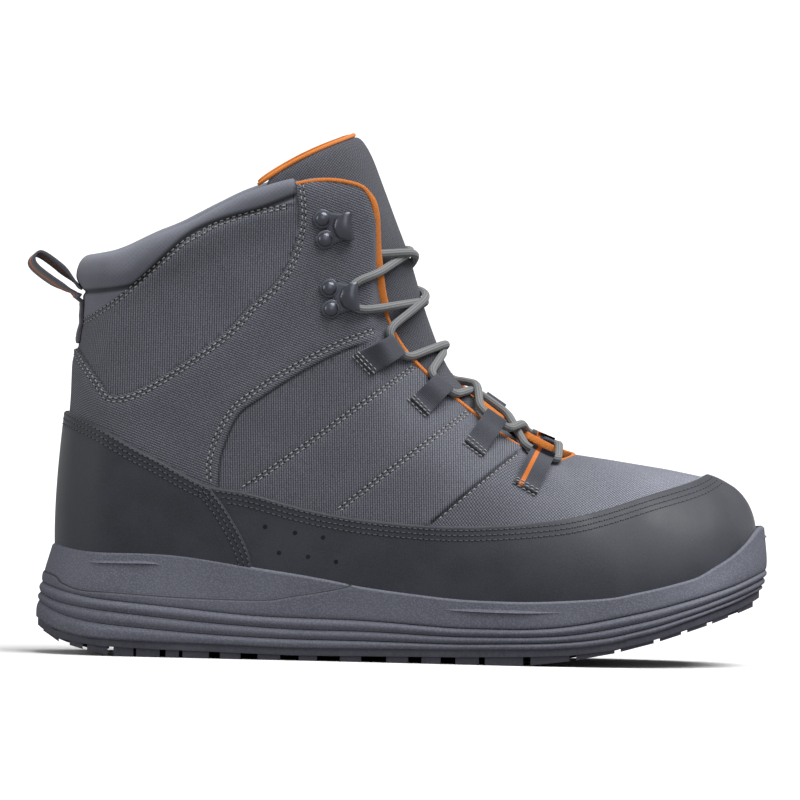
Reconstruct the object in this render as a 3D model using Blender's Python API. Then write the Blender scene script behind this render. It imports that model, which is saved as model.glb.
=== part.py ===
"""Right wading boot: lugged outsole, foam cup midsole, fabric upper with a nubuck rand.

The frame has +X to the toe, +Y to the inner side of the foot and +Z up. The origin is on the
ground under the middle of the heel. All lengths are in metres.
"""
import math

import bmesh
import bpy
from mathutils import Matrix, Vector

# Driving sizes of the sole
SOLE_LENGTH = 0.310        # heel edge to toe edge
HEEL_SETBACK = 0.046       # heel edge to the middle of the heel
CUP_HEIGHT = 0.045         # ground to the midsole's lip at the heel
SOLE_MARGIN = 0.005        # midsole beyond the foot of the upper, at the ball
GROOVE_DEPTH = 0.0011      # grooves round the midsole
GROOVE_WIDTH = 0.0016
OUTSOLE_SKIN = 0.0030      # outsole between its lugs
OUTSOLE_INSET = 0.0008     # outsole edge inside the midsole's
INSOLE_THICKNESS = 0.004

# Driving sizes of the upper
BALL_WIDTH = 0.104         # across the ball, where the upper meets the sole
SHAFT_WIDTH = 0.078        # across the collar
SHAFT_HEIGHT = 0.2035      # collar's highest point above the ground
VAMP_HEIGHT = 0.088        # foot of the throat above the ground
UPPER_WALL = 0.0025
COLLAR_WALL = 0.0065       # padded collar
COLLAR_PUFF = 0.0020       # how far the padding stands out
RAND_WALL = 0.0014
COUNTER_WALL = 0.0018
RAND_HEIGHT = 0.103        # rand's upper edge at the heel
RAND_SEAT = 0.002          # rand's lower edge above the foot bed
TONGUE_WALL = 0.0045
TONGUE_ROOM = 0.0014       # between the tongue and the inside of the upper
PIPING_RADIUS = 0.0014

# Driving sizes of the lacing and the pull loop
WEBBING = 0.0009           # thickness of the lace loops' webbing
LOOP_WIDTH = 0.014
LOOP_ROOM = 0.0014         # between a lace loop and the upper
TACK_ROOM = 0.0008         # the same at its bar-tack
EYE_RADIUS = 0.0026        # inside a lace loop
LACE_RADIUS = 0.0021
HOOK_PLATE = 0.0010
HOOK_WIDTH = 0.007
HOOK_ARM = 0.0105          # rivets to the start of the curl
HOOK_TIP = 0.005           # straight end of the curl
RIVET_SPACING = 0.0096
RIVET_RADIUS = 0.0032
RIVET_HEIGHT = 0.0015
PULL_WIDTH = 0.015
PULL_WEBBING = 0.0012
PULL_ROOM = 0.0006         # between the pull loop's tail and the heel
PULL_REACH = 0.0225        # how far the pull loop stands out from the heel

CLEARANCE = 0.0003         # between pieces that touch
MERGE = 0.00001            # between points that are one
LEAST = 0.000001           # a vector shorter than this has no direction

HALF_BALL = BALL_WIDTH / 2
HALF_SHAFT = SHAFT_WIDTH / 2
UP = Vector((0, 0, 1))
ACROSS = Vector((0, 1, 0))

# Sections of the upper, from the heel to the toe. foot and top are places along the sole. The
# widths are shares of half the ball and half the shaft. A level is 0 at the foot of the throat
# and 1 at the collar's top. rise and drop are the lengths of the section's two handles as
# shares of its height, and bulge and shoulder lean them out by shares of half the ball.
SECTION_COLUMNS = (
    "foot", "outer", "inner", "top", "top_outer", "top_inner", "level_outer", "level_inner",
    "rise", "bulge", "shoulder", "drop", "pad")
SECTIONS = {
    "heel_back": (0.035, 0.00, 0.00, 0.061, 0.00, 0.00, 0.684, 0.684, .31, .08, .03, .31, 1),
    "heel_corner": (0.053, 0.38, 0.37, 0.076, 0.50, 0.49, 0.688, 0.688, .31, .09, .02, .31, 1),
    "heel_side": (0.103, 0.62, 0.60, 0.116, 0.83, 0.82, 0.714, 0.714, .31, .10, .00, .31, 1),
    "counter": (0.171, 0.68, 0.66, 0.181, 0.95, 0.94, 0.797, 0.797, .31, .10, .01, .30, 1),
    "ankle": (0.239, 0.73, 0.67, 0.248, 1.00, 0.99, 0.892, 0.892, .31, .09, .02, .30, .9),
    "shank_rear": (0.300, 0.77, 0.66, 0.316, 0.99, 0.97, 0.961, 0.961, .30, .07, .03, .30, .5),
    "shank": (0.352, 0.79, 0.65, 0.381, 0.94, 0.94, 1.000, 1.000, .30, .06, .04, .30, .3),
    "flap_top": (0.397, 0.81, 0.67, 0.429, 0.88, 0.88, 0.983, 0.983, .30, .06, .07, .30, .2),
    "flap_front": (0.439, 0.83, 0.71, 0.453, 0.82, 0.82, 0.883, 0.883, .30, .06, .11, .30, .1),
    "upper_throat": (0.481, 0.86, 0.76, 0.456, 0.74, 0.74, 0.701, 0.710, .30, .07, .16, .28, 0),
    "bend": (0.526, 0.89, 0.82, 0.466, 0.67, 0.67, 0.532, 0.554, .31, .08, .20, .26, 0),
    "instep": (0.574, 0.93, 0.88, 0.492, 0.60, 0.62, 0.390, 0.424, .33, .09, .25, .22, 0),
    "waist_front": (0.623, 0.97, 0.92, 0.535, 0.54, 0.59, 0.273, 0.320, .36, .10, .29, .19, 0),
    "ball_rear": (0.674, 1.00, 0.96, 0.590, 0.49, 0.55, 0.156, 0.212, .40, .11, .31, .16, 0),
    "ball": (0.729, 1.00, 0.98, 0.647, 0.41, 0.49, 0.043, 0.100, .46, .12, .38, .12, 0),
    "throat_toe": (0.781, 0.99, 0.98, 0.698, 0.24, 0.36, -0.022, 0.030, .50, .11, .46, .05, 0),
    "throat_end": (0.829, 0.94, 0.95, 0.731, -.08, 0.08, 0.000, 0.000, .52, .11, .54, .00, 0),
    "vamp": (0.874, 0.84, 0.88, 0.774, -.08, 0.08, -0.015, -0.015, .54, .11, .54, .00, 0),
    "toe_side": (0.916, 0.66, 0.74, 0.818, -.08, 0.08, -0.032, -0.032, .55, .11, .52, .00, 0),
    "toe_corner": (0.952, 0.38, 0.50, 0.861, -.08, 0.08, -0.049, -0.049, .55, .11, .46, .00, 0),
    "toe_tip": (0.969, -.06, 0.06, 0.905, -.08, 0.08, -0.071, -0.071, .54, .12, .38, .00, 0),
}
NAMES = list(SECTIONS)
TIP = NAMES.index("toe_tip")
THROAT_END = NAMES.index("throat_end")
COUNTER_END = NAMES.index("shank_rear")
FLAP = NAMES.index("flap_top")
STEPS = ([0, .5, 1, 1.5] + list(range(2, THROAT_END)) + [FLAP + .5, THROAT_END - .5]
         + [THROAT_END + k / 2 for k in range(2 * (TIP - THROAT_END) + 1)])
STEPS.sort()
LEVELS = (0, .1, .2, .3, .42, .55, .68, .8, .87, .94, 1)
FORM_ROWS = 7              # of these rows, those that the cup is shaped to
PAD_LOW = .68              # the wall thickens from here up to the share below
PAD_HIGH = .87
PAD_START = .86            # share of a section where the collar stands out
STEP_G = .02               # small steps round and up the surface, for its slopes
STEP_S = .01
FOLLOW_TURNS = 8           # corrections that find a place seen from the side
STEP_K = .3                # the same up the tongue's slices

# The sole at places along its length. Heights are shares of the cup's height and spreads are
# shares of its margin: low at the outsole, mid half way up and edge at the lip.
SOLE_COLUMNS = (
    "along", "tread", "underside", "low_groove", "mid_groove", "top_groove", "lip", "bed",
    "low", "mid", "edge")
SOLE = {
    "heel_edge": (0.000, 0.26, 0.34, 0.51, 0.59, 0.69, 1.04, 0.73, 2.16, 1.80, 0.84),
    "heel_bevel": (0.032, 0.12, 0.22, 0.39, 0.49, 0.61, 1.02, 0.73, 2.12, 1.76, 0.84),
    "heel_seat": (0.077, 0.04, 0.17, 0.31, 0.44, 0.54, 0.94, 0.73, 1.64, 1.44, 0.84),
    "heel_rear": (0.112, 0.00, 0.16, 0.29, 0.41, 0.52, 0.95, 0.73, 1.46, 1.30, 0.84),
    "heel_centre": (0.148, 0.00, 0.15, 0.27, 0.39, 0.50, 1.00, 0.72, 1.28, 1.20, 0.84),
    "heel_front": (0.226, 0.00, 0.14, 0.23, 0.34, 0.45, 0.95, 0.70, 1.04, 1.00, 0.84),
    "waist_rear": (0.300, 0.00, 0.13, 0.21, 0.31, 0.41, 0.84, 0.64, 0.88, 0.88, 0.84),
    "waist": (0.361, 0.00, 0.12, 0.20, 0.29, 0.40, 0.79, 0.57, 0.84, 0.84, 0.84),
    "waist_front": (0.455, 0.00, 0.13, 0.20, 0.29, 0.39, 0.69, 0.46, 0.84, 0.84, 0.84),
    "ball_rear": (0.568, 0.00, 0.14, 0.19, 0.26, 0.34, 0.59, 0.39, 0.92, 0.90, 0.84),
    "ball": (0.665, 0.00, 0.16, 0.21, 0.27, 0.34, 0.57, 0.38, 1.04, 1.00, 0.84),
    "ball_front": (0.716, 0.04, 0.17, 0.22, 0.28, 0.36, 0.58, 0.38, 1.04, 1.00, 0.84),
    "tread_break": (0.781, 0.12, 0.23, 0.28, 0.36, 0.45, 0.64, 0.44, 1.04, 1.00, 0.84),
    "toe_rear": (0.845, 0.24, 0.34, 0.39, 0.46, 0.55, 0.73, 0.56, 1.08, 1.04, 0.84),
    "toe_rise": (0.910, 0.39, 0.50, 0.54, 0.60, 0.68, 0.85, 0.68, 1.16, 1.20, 0.84),
    "toe_bend": (0.952, 0.50, 0.61, 0.65, 0.71, 0.78, 0.98, 0.78, 1.24, 1.64, 0.92),
    "toe_lip": (0.974, 0.56, 0.68, 0.72, 0.78, 0.85, 1.30, 0.84, 1.28, 1.86, 1.00),
    "toe_edge": (1.000, 0.62, 0.76, 0.80, 0.86, 0.93, 1.34, 0.91, 1.28, 1.86, 1.00),
}
LIP_SHARES = (.72, .9)     # rows of the midsole's side between its grooves and its lip

# The rand's upper edge: place along the sole, share of the rand's height at the heel.
RAND_LINE = (
    (-.100, 1.010), (.037, .997), (.085, .939), (.133, .860), (.167, .810), (.202, .754),
    (.237, .708), (.290, .683), (.359, .629), (.427, .592), (.495, .573), (.563, .564),
    (.631, .573), (.712, .598), (.766, .635), (.834, .700), (.888, .749), (.914, .783),
    (.939, .835), (1.100, .960))
# The counter's front edge, from its top down.
COUNTER_EDGE = ((.237, .708), (.257, .631), (.278, .530), (.292, .441), (.296, .368), (.297, .155))

# The tongue's slices, from the toe up. edge and turn are places on the inside of the upper
# (section, share of the section) and room is how many times the tongue's room they lie in from
# it; front and level place the middle of the slice.
TONGUE = (
    ("toe", 17.0, .86, 16.6, .95, 1.0, .762, -.052),
    ("throat_end", 16.0, .84, 16.0, .94, 1.2, .729, -.060),
    ("throat_toe", 15.0, .84, 15.0, .94, 1.2, .684, -.010),
    ("ball", 14.0, .84, 14.0, .97, 1.0, .634, .090),
    ("ball_rear", 13.0, .85, 13.0, .98, 1.0, .590, .205),
    ("waist", 12.0, .86, 12.0, .98, 1.0, .558, .300),
    ("instep", 11.0, .86, 11.0, .98, 1.2, .535, .434),
    ("bend", 10.0, .86, 10.2, .98, 1.7, .518, .560),
    ("shin", 9.0, .86, 9.5, .98, 1.9, .502, .700),
    ("flap", 8.0, .88, 8.8, .98, 1.6, .486, .810),
    ("flap_top", 7.0, .88, 8.1, .98, 1.0, .472, .905),
    ("collar", 6.0, .88, 7.5, .97, 1.0, .458, 1.000),
    ("collar_rear", 5.2, .90, 6.7, .985, 1.0, .445, 1.082))
# The tongue's free upper edge: place along, half width as a share of the shaft's, level.
TONGUE_TOP = ((.298, .84, .965), (.361, .85, 1.085), (.430, .00, 1.150))
TONGUE_STEPS = 5           # faces across half the tongue
TONGUE_LEAD = 1.15         # how far a slice keeps its direction past the turning point
TONGUE_EASE = (.08, .55, .08)           # how far the middle of a slice runs level
TONGUE_TOE = .45           # thickness at the toe as a share of the tongue's wall
TONGUE_PADDED = 6          # slice where the tongue reaches its full thickness

# Sections that the collar's piping passes.
PIPING_STEPS = (4.6, 5, 5.5, 6, 6.5, 7, 7.25, 7.5, 7.75, 8)
PIPING_SPANS = 12          # straight runs of the tongue's piping
PIPING_SIDES = 6
LACE_SIDES = 6
RIVET_SIDES = 8

# Lace loops: section at the throat edge, half width in sections, then the bar-tack's place on
# the outer and the inner side, and its room as a share of the loops' own.
LOOPS = (
    (11.05, .37, (7.73, .60), (7.90, .61), 1.5),
    (12.40, .33, (11.40, .77), (11.31, .73), 1.0),
    (13.45, .31, (12.80, .75), (12.70, .69), 1.0),
    (14.38, .33, (13.80, .67), (13.70, .60), 1.0))
LOOP_SHARES = (0, .33, .67, 1)          # places along a loop's tail
EYE_TURN = 150             # degrees that an eye turns each way from straight out
EYE_SPANS = 7
# Hooks: section and share of the section at the middle of the two rivets.
HOOKS = ((6.08, .876), (6.38, .712))
# A hook plate's lobe round its rivet, in shares of the lobe's radius.
LOBE_OUTLINE = ((-1, 0), (-.7, .7), (0, 1), (1, .3))
LOBE_NECK = .6             # where the plate narrows, as a share of the arm
CURL_SPANS = 5
RIVET_TOP = .6             # a rivet's flat top as a share of its radius
# Lace crossings: slices of the tongue where each strand starts and ends.
CROSSINGS = ((8.35, 8.05), (7.20, 6.85), (5.50, 5.10), (4.15, 3.85), (3.05, 2.90))
LACE_BAR = 1.7             # slice that the lowest bar crosses
LACE_SPAN = (.30, .40, .50, .60, .70)   # shares of a slice that a strand crosses

# Pull loop beyond the heel, as shares of its reach, from its lower strand to its upper one.
PULL_LOOP = ((-.06, .00), (-.28, .17), (-.60, .38), (-.90, .60), (-.99, .76), (-.90, .88),
             (-.72, .82), (-.42, .60), (-.16, .36), (-.08, .24))
PULL_TAIL = (.73, .78, .83, .855)       # shares of the heel's section along the tail

# Lugs of the outsole: start and end along the sole, and how far in from the edge.
EDGE_LUGS = ((.012, .034, .42), (.049, .067, .46), (.073, .101, .42), (.109, .136, .46),
             (.140, .172, .42), (.180, .198, .46), (.203, .239, .42), (.254, .282, .46),
             (.305, .336, .42), (.361, .386, .46), (.417, .446, .42), (.480, .510, .46),
             (.528, .554, .42), (.574, .606, .46), (.614, .666, .42), (.676, .729, .46),
             (.738, .790, .42), (.798, .843, .46), (.851, .880, .42), (.888, .915, .46),
             (.922, .944, .42), (.957, .978, .46))
LUG_SLANT = .2             # how far a lug's ends slant, as a share of its length
# Lugs down the middle: place along the sole and length as a share of the sole's.
MIDDLE_LUGS = ((.050, .065), (.148, .094), (.225, .080), (.300, .071), (.372, .071), (.443, .071),
               (.514, .084), (.585, .084), (.656, .092), (.727, .090), (.800, .090), (.872, .085),
               (.940, .071))
# A middle lug's outline in shares of its length and half width.
MIDDLE_OUTLINE = ((-.36, -.5), (-.1, -1), (.3, -.6), (.36, 0), (.3, .6), (-.1, 1), (-.36, .5))
LUG_ROOT = 0.001           # how far a lug reaches into the outsole's skin
LUG_GAP = 0.0045           # least width of the channels


def along(share):
    return share * SOLE_LENGTH - HEEL_SETBACK


def height_at(level):
    """Height of a level: 0 at the foot of the throat and 1 at the collar's top."""
    return VAMP_HEIGHT + level * (SHAFT_HEIGHT - VAMP_HEIGHT)


def catmull(before, start, end, after, t):
    """Smooth value at t between start and end, with the neighbours on both sides."""
    return 0.5 * (2 * start + (end - before) * t + (2 * before - 5 * start + 4 * end - after) * t * t
                  + (3 * start - before - 3 * end + after) * t ** 3)


def through(values, place, low=0, high=None):
    """Smooth value at a fractional index, read only from the rows low to high."""
    high = len(values) - 1 if high is None else high
    index = min(max(int(math.floor(place)), low), high - 1)
    row = [values[min(max(index + k, low), high)] for k in (-1, 0, 1, 2)]
    return catmull(*row, place - index)


def column(table, columns, name):
    index = columns.index(name)
    return [row[index] for row in table.values()]


SECTION = {name: column(SECTIONS, SECTION_COLUMNS, name) for name in SECTION_COLUMNS}
SIDE = {name: column(SOLE, SOLE_COLUMNS, name) for name in SOLE_COLUMNS}
PLACES = [along(share) for share in SIDE["along"]]


def sole_value(name, x):
    """A column of the sole's table at x, on straight runs between its rows."""
    scale = SOLE_MARGIN if name in ("low", "mid", "edge") else CUP_HEIGHT
    values = SIDE[name]
    if x <= PLACES[0]:
        return values[0] * scale
    for left, right, low, high in zip(PLACES, PLACES[1:], values, values[1:]):
        if x <= right:
            return (low + (high - low) * (x - left) / (right - left)) * scale
    return values[-1] * scale


def foot_loop():
    """Foot of the upper: outer side from heel to toe, then the inner side back."""
    lines = []
    for sign, side in ((-1, "outer"), (1, "inner")):
        rows = zip(SECTION["foot"], SECTION[side])
        lines.append([Vector((along(x), sign * y * HALF_BALL, 0)) for x, y in rows])
    return lines[0] + lines[1][-2:0:-1]


def top_rows(side):
    """Upper edge of one side, from heel to toe."""
    rows = zip(SECTION["top"], SECTION["top_" + side], SECTION["level_" + side])
    sign = -1 if side == "outer" else 1
    return [Vector((along(x), sign * y * HALF_SHAFT, height_at(level))) for x, y, level in rows]


FOOT = foot_loop()
TOP = {"outer": top_rows("outer"), "inner": top_rows("inner")}


def split(g):
    """Side and section number of the place g on the way round the foot."""
    g = g % (2 * TIP)
    return ("outer", g) if g <= TIP else ("inner", 2 * TIP - g)


def foot_point(g):
    index = int(math.floor(g))
    rows = [FOOT[(index + k) % len(FOOT)] for k in (-1, 0, 1, 2)]
    return catmull(*rows, g - index)


def outward(g):
    """Level direction away from the foot."""
    ahead = foot_point(g + STEP_G) - foot_point(g - STEP_G)
    return Vector((ahead.y, -ahead.x, 0)).normalized()


def top_point(side, u):
    if u >= THROAT_END:
        return through(TOP[side], u, THROAT_END, TIP)
    other = TOP["inner" if side == "outer" else "outer"]
    rows = [other[1]] + TOP[side][:THROAT_END + 1]
    return through(rows, u + 1)


def ridge_slope(u):
    """Fall of the closed vamp's ridge towards the toe."""
    low, high = max(u - STEP_G, THROAT_END), min(u + STEP_G, TIP)
    step = top_point("outer", high) - top_point("outer", low)
    return -step.z / step.x


def surface(g, s):
    """Point of the upper's outer face: g goes round the foot and s from the sole to the edge."""
    side, u = split(g)
    foot = foot_point(g)
    foot.z = sole_value("bed", foot.x) + CLEARANCE
    top = top_point(side, u)
    height = top.z - foot.z
    out = outward(g)
    low = (foot + out * through(SECTION["bulge"], u) * HALF_BALL
           + UP * through(SECTION["rise"], u) * height)
    lean = out * through(SECTION["shoulder"], u) * HALF_BALL
    if u >= THROAT_END:
        high = top + lean - UP * lean.x * ridge_slope(u)
    else:
        high = top + lean - UP * through(SECTION["drop"], u) * height
    t = 1 - s
    point = foot * t ** 3 + low * 3 * t * t * s + high * 3 * t * s * s + top * s ** 3
    swell = max(0, s - PAD_START) / (1 - PAD_START)
    return point + out * COLLAR_PUFF * through(SECTION["pad"], u) * math.sin(math.pi * min(swell, 1))


def direction(g, s):
    """Outward normal of the upper."""
    side, u = split(g)
    if s > 1 - MERGE and u >= THROAT_END:
        return Vector((ridge_slope(u), 0, 1)).normalized()
    climb = surface(g, min(s + STEP_S, 1)) - surface(g, max(s - STEP_S, 0))
    ahead = surface(g + STEP_G, s) - surface(g - STEP_G, s)
    if ahead.length < LEAST:
        ahead = ACROSS
    return ahead.cross(climb).normalized()


def wall_at(g, s):
    """Thickness of the upper: thin fabric with a padded collar."""
    pad = through(SECTION["pad"], split(g)[1])
    share = min(max((s - PAD_LOW) / (PAD_HIGH - PAD_LOW), 0), 1)
    return UPPER_WALL + (COLLAR_WALL - UPPER_WALL) * pad * share


def skin(g, s, offset):
    return surface(g, s) + direction(g, s) * offset


ROUND = STEPS + [2 * TIP - u for u in reversed(STEPS[1:-1])]
OPEN = [split(g)[1] <= THROAT_END for g in ROUND]


def material(name, colour, roughness, metallic=0.0):
    """Principled material; the colour is in display values from 0 to 255."""
    mat = bpy.data.materials.new(name)
    mat.use_nodes = True
    shader = mat.node_tree.nodes["Principled BSDF"]
    linear = [(c / 255 / 12.92 if c <= 10 else ((c / 255 + .055) / 1.055) ** 2.4) for c in colour]
    shader.inputs["Base Color"].default_value = (*linear, 1)
    shader.inputs["Roughness"].default_value = roughness
    shader.inputs["Metallic"].default_value = metallic
    mat.diffuse_color = (*linear, 1)
    return mat


def closed_mesh(name, points, faces, finish=None):
    """Object from points and faces, with doubles merged and faces pointing out."""
    mesh = bpy.data.meshes.new(name)
    mesh.from_pydata([tuple(p) for p in points], [], faces)
    bm = bmesh.new()
    bm.from_mesh(mesh)
    bmesh.ops.remove_doubles(bm, verts=bm.verts, dist=MERGE)
    bmesh.ops.dissolve_degenerate(bm, edges=bm.edges, dist=MERGE)
    bmesh.ops.recalc_face_normals(bm, faces=bm.faces)
    if bm.calc_volume(signed=True) < 0:
        bmesh.ops.reverse_faces(bm, faces=bm.faces)
    bm.to_mesh(mesh)
    bm.free()
    obj = bpy.data.objects.new(name, mesh)
    bpy.context.scene.collection.objects.link(obj)
    if finish:
        mesh.materials.append(finish)
        mesh.shade_smooth()
        mesh.set_sharp_from_angle(angle=math.radians(35))
    return obj


def as_cutter(obj):
    obj.hide_render = True
    obj.display_type = "WIRE"
    return obj


def combine(obj, other, operation):
    modifier = obj.modifiers.new(operation.lower(), "BOOLEAN")
    modifier.operation = operation
    modifier.solver = "EXACT"
    modifier.object = as_cutter(other)


def quad(a, b, c, d):
    return [(a, b, c), (a, c, d)]


def round_grid(rows_of, rows):
    """Points for each place round the foot, with one list of rows at each."""
    return [[rows_of(g, row) for row in rows] for g in ROUND]


def two_faced(name, outer, inner, finish):
    """Closed wall between two grids round the foot, open at the throat and underneath."""
    count, rows = len(outer), len(outer[0])
    points = [p for line in outer for p in line] + [p for line in inner for p in line]
    shift = count * rows
    faces = []
    for i in range(count):
        k = (i + 1) % count
        for j in range(rows - 1):
            a, b, c, d = i * rows + j, k * rows + j, k * rows + j + 1, i * rows + j + 1
            faces += quad(a, b, c, d)
            faces += [(y + shift, x + shift, z + shift) for x, y, z in quad(a, b, c, d)]
        faces += quad(k * rows, i * rows, i * rows + shift, k * rows + shift)
        if OPEN[i] and OPEN[k]:
            last = rows - 1
            faces += quad(i * rows + last, k * rows + last, k * rows + last + shift,
                          i * rows + last + shift)
    return closed_mesh(name, points, faces, finish)


def capped(name, rings, finish=None):
    """Closed solid from rings round the foot, bottom to top, with both ends ruled across."""
    count = len(ROUND)
    points = [p for ring in rings for p in ring]
    faces = []
    for level in range(len(rings) - 1):
        for i in range(count):
            k = (i + 1) % count
            low, high = level * count, (level + 1) * count
            faces += quad(low + i, low + k, high + k, high + i)
    last = (len(rings) - 1) * count
    half = len(STEPS) - 1
    for base, turn in ((0, True), (last, False)):
        for i in range(half):
            a, b = base + i, base + i + 1
            c, d = base + (count - i - 1) % count, base + (count - i) % count
            strip = quad(a, b, c, d) if i < half - 1 else [(a, b, d)]
            strip = strip if i else [(a, b, c)]
            faces += [(y, x, z) for x, y, z in strip] if turn else strip
    return closed_mesh(name, points, faces, finish)


def prism(name, outline, reach):
    """Solid with an outline seen from the side, as far out as reach on both sides."""
    count = len(outline)
    points = [(x, -reach, z) for x, z in outline] + [(x, reach, z) for x, z in outline]
    faces = [tuple(range(count)), tuple(range(2 * count - 1, count - 1, -1))]
    faces += [(i, (i + 1) % count, (i + 1) % count + count, i + count) for i in range(count)]
    return closed_mesh(name, points, faces)


def make_upper(finish):
    outer = round_grid(surface, LEVELS)
    inner = round_grid(lambda g, s: skin(g, s, -wall_at(g, s)), LEVELS)
    return two_faced("upper", outer, inner, finish)


def over_shell(name, wall, finish):
    """A layer over the whole upper, ready to be cut to its outline."""
    outer = round_grid(lambda g, s: skin(g, s, CLEARANCE + wall), LEVELS)
    inner = round_grid(lambda g, s: skin(g, s, CLEARANCE), LEVELS)
    return two_faced(name, outer, inner, finish)


def side_line(table):
    return [(along(x), z * RAND_HEIGHT) for x, z in table]


def seat_line(start, end):
    """Line just above the foot bed between two places along the sole."""
    places = [start] + [x for x in PLACES if start < x < end] + [end]
    return [(x, sole_value("bed", x) + RAND_SEAT) for x in places]


def make_rand(finish):
    rand = over_shell("rand", RAND_WALL, finish)
    edge = [(x + CLEARANCE, z) for x, z in side_line(COUNTER_EDGE)]
    top = [point for point in side_line(RAND_LINE) if point[0] > edge[0][0]]
    seat = seat_line(edge[-1][0], top[-1][0])
    edge = [point for point in edge if point[1] > seat[0][1]]
    combine(rand, prism("rand_outline", seat + top[::-1] + edge, SOLE_LENGTH), "INTERSECT")
    return rand


def make_counter(finish):
    counter = over_shell("heel_counter", COUNTER_WALL, finish)
    edge = side_line(COUNTER_EDGE)
    top = [point for point in side_line(RAND_LINE) if point[0] < edge[0][0]]
    seat = seat_line(top[0][0], edge[-1][0])
    edge = [point for point in edge if point[1] > seat[-1][1]]
    combine(counter, prism("counter_outline", seat + edge[::-1] + top[::-1], SOLE_LENGTH), "INTERSECT")
    return counter


def edge_ring(spread, height):
    """Ring at a spread beyond the foot; both are functions of the place along the sole."""
    ring = []
    for g in ROUND:
        foot = foot_point(g)
        point = foot + outward(g) * spread(foot.x)
        point.z = height(point.x)
        ring.append(point)
    return ring


def spread_at(share):
    """Spread of the midsole's side at a share of its height, through low, mid and edge."""
    def spread(x):
        low, mid, edge = (sole_value(name, x) for name in ("low", "mid", "edge"))
        return (low * (1 - share) * (1 - 2 * share) + mid * 4 * share * (1 - share)
                + edge * share * (2 * share - 1))
    return spread


def cup_rings():
    """Rings of the midsole's side from its underside to its lip, with a groove at each line."""
    rings = [edge_ring(spread_at(0), lambda x: sole_value("underside", x))]
    for name in ("low_groove", "mid_groove", "top_groove"):
        for step, depth in ((-.5, 0), (0, GROOVE_DEPTH), (.5, 0)):
            ring = []
            for g in ROUND:
                foot = foot_point(g)
                x = foot.x
                bottom, lip = sole_value("underside", x), sole_value("lip", x)
                share = (sole_value(name, x) - bottom) / (lip - bottom)
                point = foot + outward(g) * (spread_at(share)(x) - depth)
                point.z = sole_value(name, point.x) + step * GROOVE_WIDTH
                ring.append(point)
            rings.append(ring)
    for share in LIP_SHARES:
        rings.append(edge_ring(spread_at(share), lambda x, share=share: (
            sole_value("underside", x) * (1 - share) + sole_value("lip", x) * share)))
    rings.append(edge_ring(spread_at(1), lambda x: sole_value("lip", x)))
    return rings


def cover_at(g):
    """Outer face of the rand or the counter, with the clearance beyond it."""
    wall = COUNTER_WALL if split(g)[1] <= COUNTER_END else RAND_WALL
    return wall + 2 * CLEARANCE


def last_form():
    """The covered upper as a solid, which hollows the cup down to the foot bed."""
    rings = []
    for s in LEVELS:
        rings.append([skin(g, s, cover_at(g)) for g in ROUND])
    floor = [Vector((p.x, p.y, sole_value("bed", p.x))) for p in rings[0]]
    return capped("last_form", [floor] + rings[:FORM_ROWS])


def make_midsole(finish):
    midsole = capped("midsole", cup_rings(), finish)
    combine(midsole, last_form(), "DIFFERENCE")
    return midsole


def make_insole(finish):
    inset = UPPER_WALL + 2 * CLEARANCE
    low = edge_ring(lambda x: -inset, lambda x: sole_value("bed", x) + CLEARANCE)
    high = [point + UP * INSOLE_THICKNESS for point in low]
    return capped("insole", [low, high], finish)


def make_outsole(finish):
    """Skin under the midsole with lugs joined to it; the tread's flats lie on the ground."""
    def edge(x):
        return spread_at(0)(x) - OUTSOLE_INSET

    def roof(x):
        return sole_value("underside", x) - CLEARANCE

    def floor(x):
        return roof(x) - OUTSOLE_SKIN

    low = edge_ring(edge, floor)
    outsole = capped("outsole", [low, edge_ring(edge, roof)], finish)

    def reach(x, inner):
        """Half width of the outsole at x on one side."""
        half = len(STEPS) - 1
        side = low[:half + 1] if not inner else [low[0]] + low[:half - 1:-1]
        for near, far in zip(side, side[1:]):
            if near.x <= x <= far.x:
                share = (x - near.x) / (far.x - near.x)
                return abs(near.y + (far.y - near.y) * share)
        return 0

    points, faces = [], []

    def add_lug(corners):
        count = len(corners)
        base = len(points)
        points.extend(Vector((x, y, sole_value("tread", x))) for x, y in corners)
        points.extend(Vector((x, y, floor(x) + LUG_ROOT)) for x, y in corners)
        faces.append(tuple(base + k for k in range(count)))
        faces.append(tuple(base + count + k for k in reversed(range(count))))
        for k in range(count):
            n = (k + 1) % count
            faces.append((base + n, base + k, base + k + count, base + n + count))

    rim = OUTSOLE_INSET
    for start, end, share in EDGE_LUGS:
        for inner in (False, True):
            sign = 1 if inner else -1
            x0, x1 = along(start), along(end)
            y0, y1 = reach(x0, inner) - rim, reach(x1, inner) - rim
            slant = (x1 - x0) * LUG_SLANT
            add_lug([(x0, sign * y0), (x1, sign * y1), (x1 - slant, sign * y1 * (1 - share)),
                     (x0 + slant, sign * y0 * (1 - share))])
    for middle, share in MIDDLE_LUGS:
        x, length = along(middle), share * SOLE_LENGTH
        widest = min(reach(x - length / 2, side) for side in (False, True))
        half = max(widest / 2 - LUG_GAP, LUG_GAP)
        add_lug([(x + length * a, half * b) for a, b in MIDDLE_OUTLINE])
    combine(outsole, closed_mesh("lugs", points, faces), "UNION")
    return outsole


def tongue_slice(row):
    """Edge and turning point on both sides of a slice, with its middle between them."""
    _, u, s, turn_u, turn_s, room, front, level = row
    ends = []
    for side in ("outer", "inner"):
        for place, share in ((u, s), (turn_u, turn_s)):
            g = place if side == "outer" else 2 * TIP - place
            ends.append(skin(g, share, -wall_at(g, share) - TONGUE_ROOM * room))
    middle = (ends[1] + ends[3]) / 2
    centre = Vector((along(front), middle.y, height_at(level)))
    return [ends[0], ends[1], centre, ends[3], ends[2]]


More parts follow.
